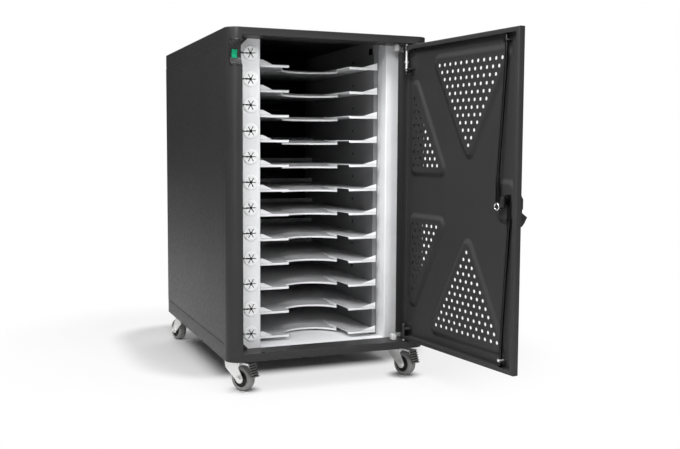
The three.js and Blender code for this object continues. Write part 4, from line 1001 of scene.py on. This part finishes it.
LEVER_Y0, LEVER_Y1 = HOUSE_Y0 + 7.3, DOOR_OUT + 37.0
lever_rim = np.array([
    (LEVER_Y0, 13), (LEVER_Y0, -14), (LEVER_Y0 + 8, -28), (LEVER_Y0 + 10, -44), (LEVER_Y1 - 12, -44),
    (LEVER_Y1 - 6.5, -38), (LEVER_Y1, -27), (LEVER_Y1 - 12, -19), (LEVER_Y1 - 12, -14), (LEVER_Y1 - 10, -12),
    (LEVER_Y1 - 10, 5), (LEVER_Y1 - 15, 13),
])
lever_bends = (1.5, 9.0, 9.0, 2.5, 2.2, 3.0, 1.2, 2.4, 0.9, 0.9, 3.0, 2.0)
lever_side = outline(lever_rim + (0, DOOR_MID), lever_bends, 6)
LEVER_HALF, SPINDLE_R = 12.0, 3.0
lever = slab(lever_side, SPINDLE_U - LEVER_HALF, SPINDLE_U + LEVER_HALF, "x", 0.9, 4)
spindle = turned(chamfered(SPINDLE_R, -2.2, LEVER_Y0 + 2, 0.4), (SPINDLE_U, 0, DOOR_MID), (0, 1, 0), 24)
handle = piece("lock_lever", on_door(joined(lever, spindle)), black, 40)
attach(handle, "handle")
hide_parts("lock_handle")

# Lock cam: blackened arm pinned to the spindle, with a stud for each rod. The upper stud has a bright
# plated cup for a head, with a black button in it; a black block on the end of the spindle holds the arm.
chrome = metal("bright_plate", (0.74, 0.74, 0.76, 1.0), 0.13, 300.0, (1.0, 1.0, 1.0), 0.04)
CAM_ARM, CAM_END, CAM_WAIST, CAM_LEAN = 11.0, 5.0, 8.0, np.pi / 4
CAM_Y0, CAM_Y1 = 1.8, 4.2
reach = CAM_ARM * math.sqrt(0.5)
STUD_UP = np.array([SPINDLE_U - reach, DOOR_MID - reach])
STUD_LOW = np.array([SPINDLE_U + reach, DOOR_MID + reach])
side_a = np.linspace(CAM_LEAN - np.pi / 2, CAM_LEAN + np.pi / 2, 12)
waist = arc(np.array([CAM_LEAN + np.pi / 2, CAM_LEAN - np.pi / 2]), CAM_WAIST) + (SPINDLE_U, DOOR_MID)
cam_rim = np.vstack([STUD_LOW + arc(side_a, CAM_END), waist[:1],
                     STUD_UP + arc(side_a + np.pi, CAM_END), waist[1:]])
UP_Y0, LOW_Y1 = CAM_Y0 - 2.5, CAM_Y1 + 2.5
CUP_Y = UP_Y0 - 6.0
knob = [(AXIS_R, CUP_Y + 1.6), (4.3, CUP_Y + 1.6), (4.6, CUP_Y + 0.5), (5.2, CUP_Y), (6.4, CUP_Y),
        (7.2, CUP_Y + 0.7), (7.4, CUP_Y + 1.8), (7.4, UP_Y0 - 1.0), (6.8, UP_Y0 - SEAM), (2.4, UP_Y0 - SEAM),
        (2.4, CAM_Y0 + 0.4), (AXIS_R, CAM_Y0 + 0.4)]
cup = piece("lock_cam_cup", on_door(turned(knob, (STUD_UP[0], 0, STUD_UP[1]), (0, 1, 0), 36)), chrome, 40)
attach(cup, "handle")
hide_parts("lock_cam")
dark_steel = metal("blackened_steel", (0.03, 0.03, 0.032, 1.0), 0.36, 420.0, (1.0, 1.0, 0.15))
cam = piece("lock_cam_arm", on_door(joined(
    slab(cam_rim, CAM_Y0, CAM_Y1, "y", 0.3),
    turned(chamfered(2.4, CAM_Y1 - 0.4, LOW_Y1, 0.3), (STUD_LOW[0], 0, STUD_LOW[1]), (0, 1, 0), 24),
)), dark_steel, 40)
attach(cam, "handle")
block_rim = rounded(SPINDLE_U, DOOR_MID - 9, SPINDLE_U + 10, DOOR_MID + 9, 2.0, 5)
button = [(AXIS_R, CUP_Y + 0.4), (2.4, CUP_Y + 0.5), (3.8, CUP_Y + 0.9), (4.1, CUP_Y + 1.7),
          (AXIS_R, CUP_Y + 1.7)]
nut = piece("spindle_block", on_door(joined(
    slab(block_rim, UP_Y0 - 5.0, UP_Y0 - SEAM, "y", 0.6),
    turned(chamfered(3.1, UP_Y0 - 0.5, CAM_Y0 + 0.3, 0.2), (SPINDLE_U, 0, DOOR_MID), (0, 1, 0), 24),
    turned(button, (STUD_UP[0], 0, STUD_UP[1]), (0, 1, 0), 28),
)), black, 40)
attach(nut, "handle")

# Lock rods: blackened round bar, flattened and slotted where the cam's studs drive them.
# They lean back to the middle of the door's edge, and each runs through a ring guide near its tip.
def spline(points, steps):
    """Catmull-Rom curve through points, the same number of steps on every span."""
    p = np.asarray(points, float)
    p = np.vstack([2 * p[0] - p[1], p, 2 * p[-1] - p[-2]])
    t = np.linspace(0, 1, steps, endpoint=False)[None, :, None]
    a, b, c, d = p[:-3, None], p[1:-2, None], p[2:-1, None], p[3:, None]
    curve = 0.5 * (2 * b + (c - a) * t + (2 * a - 5 * b + 4 * c - d) * t ** 2
                   + (3 * b - a - 3 * c + d) * t ** 3)
    return np.vstack([curve.reshape(-1, 3), p[-2:-1]])


SLOT_HALF, SHANK, SHANK_HALF = 3.2, 52.0, 5.0
ROD_BEND, ROD_TIP = 46.0, 3.0
for name, stud, y0, y1, way in (("upper", STUD_UP, UP_Y0, CAM_Y0 - SEAM, 1),
                                ("lower", STUD_LOW, CAM_Y1 + SEAM, LOW_Y1, -1)):
    side = -way
    shank_u = SPINDLE_U + side * (CAM_ARM + 1.5)
    mid, foot = (y0 + y1) / 2, stud[1] + way * SHANK
    bend_z = DOOR_Z1 - ROD_BEND if way > 0 else DOOR_Z0 + ROD_BEND
    tip_z = HEAD - ROD_TIP if way > 0 else SILL + ROD_TIP
    lean_path = spline([(shank_u, mid, foot - way * 8), (shank_u, mid, foot + way * 4),
                        ((shank_u + 3 * SPINDLE_U) / 4, (mid + 3 * ROD_SET) / 4, bend_z - way * 60),
                        (SPINDLE_U, ROD_SET, bend_z), (SPINDLE_U, ROD_SET, bend_z + way * 12)], 8)
    end_path = [(SPINDLE_U, ROD_SET, tip_z - way * 1.2), (SPINDLE_U, ROD_SET, tip_z)]
    bar_path = np.vstack([lean_path, end_path])
    bar_r = np.full(len(bar_path), ROD_R)
    bar_r[-1] = ROD_R - 1.0
    lug = np.array([(-8.4, -6), (4.4, -6), (4.4, 6), (-8.4, 6)]) * (-side, 1) + stud
    slot_u = sorted((stud[0] - side * SLOT_HALF, SPINDLE_U + side * (CAM_ARM + SLOT_HALF)))
    slot_rim = rounded(slot_u[0], stud[1] - SLOT_HALF, slot_u[1], stud[1] + SLOT_HALF, 3.1)
    neck = sorted((stud[1] + way * 5.0, foot))
    shank = rounded(shank_u - SHANK_HALF, neck[0], shank_u + SHANK_HALF, neck[1], 1.5, 4)
    rod = piece(f"lock_bar_{name}", on_door(joined(
        tube(bar_path, bar_r),
        punched(outline(lug, 2.0, 5), [slot_rim], y0, y1, "y"),
        slab(shank, y0, y1, "y", 0.4),
    )), dark_steel, 40)
    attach(rod, "rod_up" if way > 0 else "rod_low")
    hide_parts(f"lock_rod_{name}")
ring_rim = np.array([(0.55, -2.0), (2.6, -2.0), (3.2, -1.5), (3.2, 1.5), (2.6, 2.0), (0.55, 2.0)])


def closed_ring(profile, centre, axis, steps):
    """A closed profile of (radius, height) carried once round a line along one axis."""
    rings = [laid(arc(full_turn(steps), radius), height, axis) for radius, height in profile]
    return loft(np.array(rings) + centre, looped=True)


for name, z, plate, slot in (("upper", GUIDE_HIGH, dark_steel, "black"), ("lower", GUIDE_LOW, zinc, "zinc")):
    rings = closed_ring(ring_rim + (ROD_R, 0), (SPINDLE_U, ROD_SET, z), "z", 32)
    guide_ring = piece(f"rod_guide_ring_{name}", on_door(rings), plate, 40)
    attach(guide_ring, "door")

# Casters: pressed zinc-plated forks on ball races, riveted under the base pan at its four corners.
# Each carries a grey rubber tyre on a black moulded hub; the front pair has black brake pedals.
FORK_IN, FORK_T, FORK_TOP, FORK_BACK = 11.1, 2.0, 59.5, -13.0
FORK_OUT, WASHER_OUT, NUT_OUT = FORK_IN + FORK_T, 14.1, 17.1
WHEEL_R, TRAIL = 25.0, 26.0
AXLE, AXLE_WAY = (TRAIL, 0, WHEEL_R), (0, 1, 0)
PEDAL_PIN = (22.0, 0, 55.5)
grey_tyre = soft_rubber("grey_tyre_rubber", (0.27, 0.27, 0.265, 1.0), 0.62)
pad_rubber = soft_rubber("pedal_rubber", (0.2, 0.199, 0.195, 1.0), 0.5)
# Painted shade: the pad's core is near-black rubber, so the grooves between the ribs read as dark lines of
# shade.
groove_shade_rubber = soft_rubber("pedal_groove_shade", (0.012, 0.012, 0.012, 1.0), 0.6)
RACE = [(AXIS_R, 59.0), (16.6, 59.0), (17.7, 59.6), (18.0, 60.6), (17.7, 61.6), (17.0, 62.2), (17.0, 62.9),
        (17.7, 63.4), (18.0, 64.4), (17.6, 65.6), (16.2, 66.5), (12.0, 66.8), (11.0, 67.4),
        (11.0, BASE_Z - SEAM), (AXIS_R, BASE_Z - SEAM)]
half_tyre = [(16.9, -8.6), (20.0, -9.3), (21.8, -9.35), (23.0, -8.8), (23.8, -7.3), (24.4, -5.2),
             (24.9, -3.2), (24.5, -2.9), (24.5, -2.5), (25.0, -2.2)]
half_hub = [(4.4, -9.5), (6.6, -9.5), (7.4, -9.0), (8.0, -7.2), (9.0, -6.7), (14.8, -6.4), (15.8, -6.9),
            (16.2, -8.6), (16.8, -8.8)]


def wheel_ring(half):
    """One half of a profile of (radius, across), mirrored to a whole one and carried round the axle."""
    return closed_ring(half + [(radius, -across) for radius, across in half[::-1]], AXLE, "y", 56)


def spoke(angle, across):
    """A low rib on the hub's web, from the bearing to the rim."""
    c, s = math.cos(angle), math.sin(angle)
    ring = rounded(7.6, -1.1, 15.6, 1.1, 0.3, 2) @ np.array([(c, s), (-s, c)])
    low, high = sorted((across, across * 1.22))
    return slab(ring + (TRAIL, WHEEL_R), low, high, "y", 0.25, 2)


def hexagon(y0, y1, across=6.4):
    """A hexagon bolt head or nut on the axle."""
    ring = arc(np.arange(6) * np.pi / 3 + 0.3, across) + (TRAIL, WHEEL_R)
    return slab(ring, y0, y1, "y", 0.6, 3)


def fork_shell(braked):
    """Two cheeks, a crown, the race, the axle with its head and nut, and the pedal's pin."""
    front = 27.0 if braked else 17.0
    eye = arc(np.linspace(0.45, -np.pi + 0.35, 14), 9.0) + (TRAIL, WHEEL_R)
    nose = [(front, 52.5), (23.5, 48)] if braked else [(20.5, 50)]
    cheek = np.vstack([[(FORK_BACK, FORK_TOP), (front, FORK_TOP)], nose, eye, [(-9.5, 44)]])
    crown = rounded(FORK_BACK, -FORK_OUT, front, FORK_OUT, 2.0, 4)
    shells = [slab(cheek, -FORK_OUT, -FORK_IN, "y", 0.45),
              slab(cheek, FORK_IN, FORK_OUT, "y", 0.45),
              slab(crown, FORK_TOP - 1.4, FORK_TOP, "z", 0.4),
              turned(RACE, (0, 0, 0), (0, 0, 1), 44),
              turned(chamfered(4.0, -14.0, 14.0, 0.3), AXLE, AXLE_WAY, 24),
              turned(chamfered(7.6, -WASHER_OUT, -FORK_OUT, 0.2), AXLE, AXLE_WAY, 28),
              turned(chamfered(7.6, FORK_OUT, WASHER_OUT, 0.2), AXLE, AXLE_WAY, 28),
              hexagon(-NUT_OUT, -WASHER_OUT),
              hexagon(WASHER_OUT, NUT_OUT)]
    if braked:
        shells.append(turned(chamfered(2.0, -WASHER_OUT, WASHER_OUT, 0.4), PEDAL_PIN, AXLE_WAY, 20))
    return joined(*shells)


def pedal_shells():
    """The pad's ribs, its core, which hangs outside the wheel, and the arm that carries it from the
    knuckle on the pin. Each rib leans with the pad and sits one step further down it."""
    core = np.array([(47.6, 57.7), (50.0, 57.7), (59.0, 30.7), (56.4, 30.0), (47.6, 55.0)])
    tilt = np.array([(0.94, 0.33), (-0.33, 0.94)])
    rib = np.array([(-1.4, -1.3), (2.4, -1.1), (2.4, 1.1), (-1.4, 1.3)]) @ tilt
    ribs = [slab(rib + (50.4 + 1.65 * n, 55.9 - 4.75 * n), -9.6, 9.6, "y", 0.3) for n in range(6)]
    arm = np.array([(PEDAL_PIN[0], 58.0), (48.6, 57.6), (51.8, 47.5), (49.6, 46.6), (45.6, 52.6),
                    (43.0, 53.6), (PEDAL_PIN[0], 54.5)])
    knuckle = turned(chamfered(4.2, -8.0, 8.0, 0.6), PEDAL_PIN, AXLE_WAY, 28)
    return joined(*ribs), slab(core, -9.0, 9.0, "y", 0.3), joined(slab(arm, -8, 8, "y", 0.5), knuckle)


def on_caster(shell, x, y, degrees):
    """Points drawn about the swivel line, turned about it and moved to a corner of the base."""
    verts, faces = shell
    u, v, z = np.asarray(verts, float).T
    c, s = math.cos(math.radians(degrees)), math.sin(math.radians(degrees))
    return np.stack([x + u * c - v * s, y + u * s + v * c, z], -1), faces


spokes = [spoke(n * np.pi / 3, across) for n in range(6) for across in (-6.6, 6.6)]
CASTER_X, CASTER_FRONT, CASTER_REAR = XR - 30.5, YF + 76.0, YB - 38.0
touching = []
for name, *place in (("front_left", -CASTER_X, CASTER_FRONT, -57.3),
                     ("front_right", CASTER_X, CASTER_FRONT, -70.0),
                     ("rear_left", -CASTER_X, CASTER_REAR, 105.0),
                     ("rear_right", CASTER_X, CASTER_REAR, 105.0)):
    braked = name.startswith("front")
    fork = piece(f"fork_pressing_{name}", on_caster(fork_shell(braked), *place), zinc, 35)
    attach(fork, f"swivel_{name}")
    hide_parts(f"caster_fork_{name}")
    tyre = piece(f"tyre_{name}", on_caster(wheel_ring(half_tyre), *place), grey_tyre, 45)
    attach(tyre, f"wheel_{name}")
    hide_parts(f"caster_wheel_{name}")
    touching.append(tuple(min((v.co for v in tyre.data.vertices), key=lambda co: co.z)))
    hub = piece(f"wheel_hub_{name}", on_caster(joined(wheel_ring(half_hub), *spokes), *place), black, 40)
    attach(hub, f"wheel_{name}")
    if braked:
        ribs, core, lever = pedal_shells()
        arm = piece(f"pedal_arm_{name}", on_caster(lever, *place), zinc, 35)
        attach(arm, f"pedal_{name}")
        # The core seen between the ribs carries the painted groove shade.
        pad = piece(f"pedal_pad_{name}", on_caster(core, *place), groove_shade_rubber, 25)
        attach(pad, f"pedal_{name}")
        pedal = piece(f"pedal_tread_{name}", on_caster(ribs, *place), pad_rubber, 25)
        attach(pedal, f"pedal_{name}")
        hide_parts(f"brake_pedal_{name}")

# Studio: a pale floor that runs out into a white backdrop, with a soft shade under the cart and a darker
# spot where each wheel stands, soft lamps round it, and the camera of the photograph. The shade and the
# spots are partly painted: there the floor's white glow is held back, and the real shadow shows in them.
def combined(tree, operation, first, second):
    """One operation on two numbers. The second may be a constant."""
    node = tree.nodes.new("ShaderNodeMath")
    node.operation = operation
    tree.links.new(first, node.inputs[0])
    if isinstance(second, float):
        node.inputs[1].default_value = second
    else:
        tree.links.new(second, node.inputs[1])
    return node.outputs["Value"]


def blended(tree, share, first, second, output):
    """Two shaders mixed by a share and led to an output."""
    node = tree.nodes.new("ShaderNodeMixShader")
    for source, socket in zip((share, first, second), node.inputs):
        tree.links.new(source, socket)
    tree.links.new(node.outputs["Shader"], tree.nodes[output].inputs["Surface"])


def vector_step(tree, operation, source, value=None):
    """One vector operation on a vector, with a constant as its second operand where it has one."""
    node = tree.nodes.new("ShaderNodeVectorMath")
    node.operation = operation
    tree.links.new(source, node.inputs[0])
    if value is not None:
        node.inputs[1].default_value = value
    return node.outputs["Value" if operation == "LENGTH" else "Vector"]


def faded(tree, distance, start, stop):
    """Nothing up to one distance, all from another, and a smooth step between them."""
    node = tree.nodes.new("ShaderNodeMapRange")
    node.interpolation_type = "SMOOTHSTEP"
    node.inputs["From Min"].default_value = start
    node.inputs["From Max"].default_value = stop
    tree.links.new(distance, node.inputs["Value"])
    return node.outputs["Result"]


FLOOR = 12.0
floor_mesh = bpy.data.meshes.new("studio_floor")
floor_mesh.from_pydata([(-FLOOR, -FLOOR, 0), (FLOOR, -FLOOR, 0), (FLOOR, FLOOR, 0), (-FLOOR, FLOOR, 0)],
                       [], [(0, 1, 2, 3)])
floor = placed("studio_floor", floor_mesh)
floor_paint, tree, paint, place_on_floor = shader("pale_floor")
paint.inputs["Base Color"].default_value = (0.8, 0.8, 0.8, 1.0)
paint.inputs["Roughness"].default_value = 0.9
glow = tree.nodes.new("ShaderNodeEmission")
ray = tree.nodes.new("ShaderNodeLightPath").outputs
mirrored = combined(tree, "MULTIPLY", ray["Is Glossy Ray"], 0.2)
shown = combined(tree, "MAXIMUM", ray["Is Camera Ray"], mirrored)
# Painted shade, in part: in a rectangle under the cart the white glow is held back, so the floor there stays
# darker, with the real shadow in it.
shade_middle = tuple(plan_centre + np.array([0.0, 0.17, 0.0]))
from_middle = vector_step(tree, "ABSOLUTE", vector_step(tree, "SUBTRACT", place_on_floor, shade_middle))
beyond = vector_step(tree, "SUBTRACT", from_middle, (0.17, 0.13, 0.0))
away = vector_step(tree, "LENGTH", vector_step(tree, "MAXIMUM", beyond, (0.0, 0.0, 0.0)))
whiter = tree.nodes.new("ShaderNodeMix")
whiter.inputs["Factor"].default_value = 0.22
tree.links.new(faded(tree, away, 0.125, 0.2), whiter.inputs["A"])
tree.links.new(faded(tree, away, 0.24, 0.55), whiter.inputs["B"])
share = combined(tree, "MULTIPLY", whiter.outputs["Result"], shown)
# Painted shade, in part: round each wheel's contact the glow is held back too, leaving a darker spot with the
# real contact shadow in it.
for spot in touching:
    near = vector_step(tree, "LENGTH", vector_step(tree, "SUBTRACT", place_on_floor, spot))
    share = combined(tree, "MULTIPLY", share, faded(tree, near, 0.012, 0.045))
blended(tree, share, paint.outputs["BSDF"], glow.outputs["Emission"], "Material Output")
floor_mesh.materials.append(floor_paint)

world = bpy.data.worlds.new("studio_world")
bpy.context.scene.world = world
world.use_nodes = True
tree = world.node_tree
ray = tree.nodes.new("ShaderNodeLightPath").outputs
shown = combined(tree, "MAXIMUM", ray["Is Camera Ray"], ray["Is Transmission Ray"])
soft, clear = tree.nodes["Background"], tree.nodes.new("ShaderNodeBackground")
for backdrop, strength in ((soft, 0.09), (clear, 1.0)):
    backdrop.inputs["Color"].default_value = (1.0, 1.0, 1.0, 1.0)
    backdrop.inputs["Strength"].default_value = strength
blended(tree, shown, soft.outputs["Background"], clear.outputs["Background"], "World Output")


def soft_lamp(name, place, target, size, watts):
    """A soft lamp of a width and a height that faces a point."""
    lamp_data = bpy.data.lights.new(name, "AREA")
    lamp_data.shape = "RECTANGLE"
    lamp_data.size, lamp_data.size_y = size
    lamp_data.energy = watts
    lamp_obj = placed(name, lamp_data)
    lamp_obj.location = place
    lamp_obj.rotation_euler = (Vector(target) - Vector(place)).to_track_quat("-Z", "Y").to_euler()


soft_lamp("overhead_lamp", (-0.2, -0.3, 2.6), (0.0, 0.0, 0.35), (2.0, 2.0), 12.0)
soft_lamp("left_lamp", (-1.2, -0.75, 1.85), (0.1, -0.3, 0.5), (0.8, 0.8), 34.0)
soft_lamp("right_lamp", (0.9, -2.4, 0.65), (0.0, -0.1, 0.4), (0.5, 0.5), 7.0)
soft_lamp("top_lamp", (0.15, -1.35, 2.2), (0.1, -0.35, 0.5), (0.4, 0.4), 14.0)
soft_lamp("strip_lamp", (-1.5, -2.35, 0.62), (-0.15, -0.25, 0.5), (0.16, 1.15), 7.0)
soft_lamp("near_lamp", (-0.45, -1.15, 1.15), (0.1, -0.4, 0.55), (0.3, 0.3), 6.5)
soft_lamp("rear_lamp", (0.3, 1.4, 2.2), (0.0, 0.2, 0.4), (1.5, 1.5), 14.0)

VIEW_FROM = (-0.6423, -1.9150, 0.4819)
YAW, PITCH_DOWN, ROLL = math.radians(21.71), math.radians(4.53), math.radians(0.28)
camera_data = bpy.data.cameras.new("photo_view")
camera_data.sensor_fit = "HORIZONTAL"
camera_data.sensor_width = 36.0
camera_data.lens = 46.79
camera_data.shift_x = 0.0097
camera_data.shift_y = -0.0087
camera = placed("photo_view", camera_data)
level_turn, tilt = Matrix.Rotation(-YAW, 4, "Z"), Matrix.Rotation(math.pi / 2 - PITCH_DOWN, 4, "X")
stand = Matrix.Translation(Vector(VIEW_FROM) + Vector(plan_centre))
camera.matrix_world = stand @ level_turn @ tilt @ Matrix.Rotation(ROLL, 4, "Z")
bpy.context.scene.camera = camera
bpy.context.scene.view_settings.view_transform = "Standard"
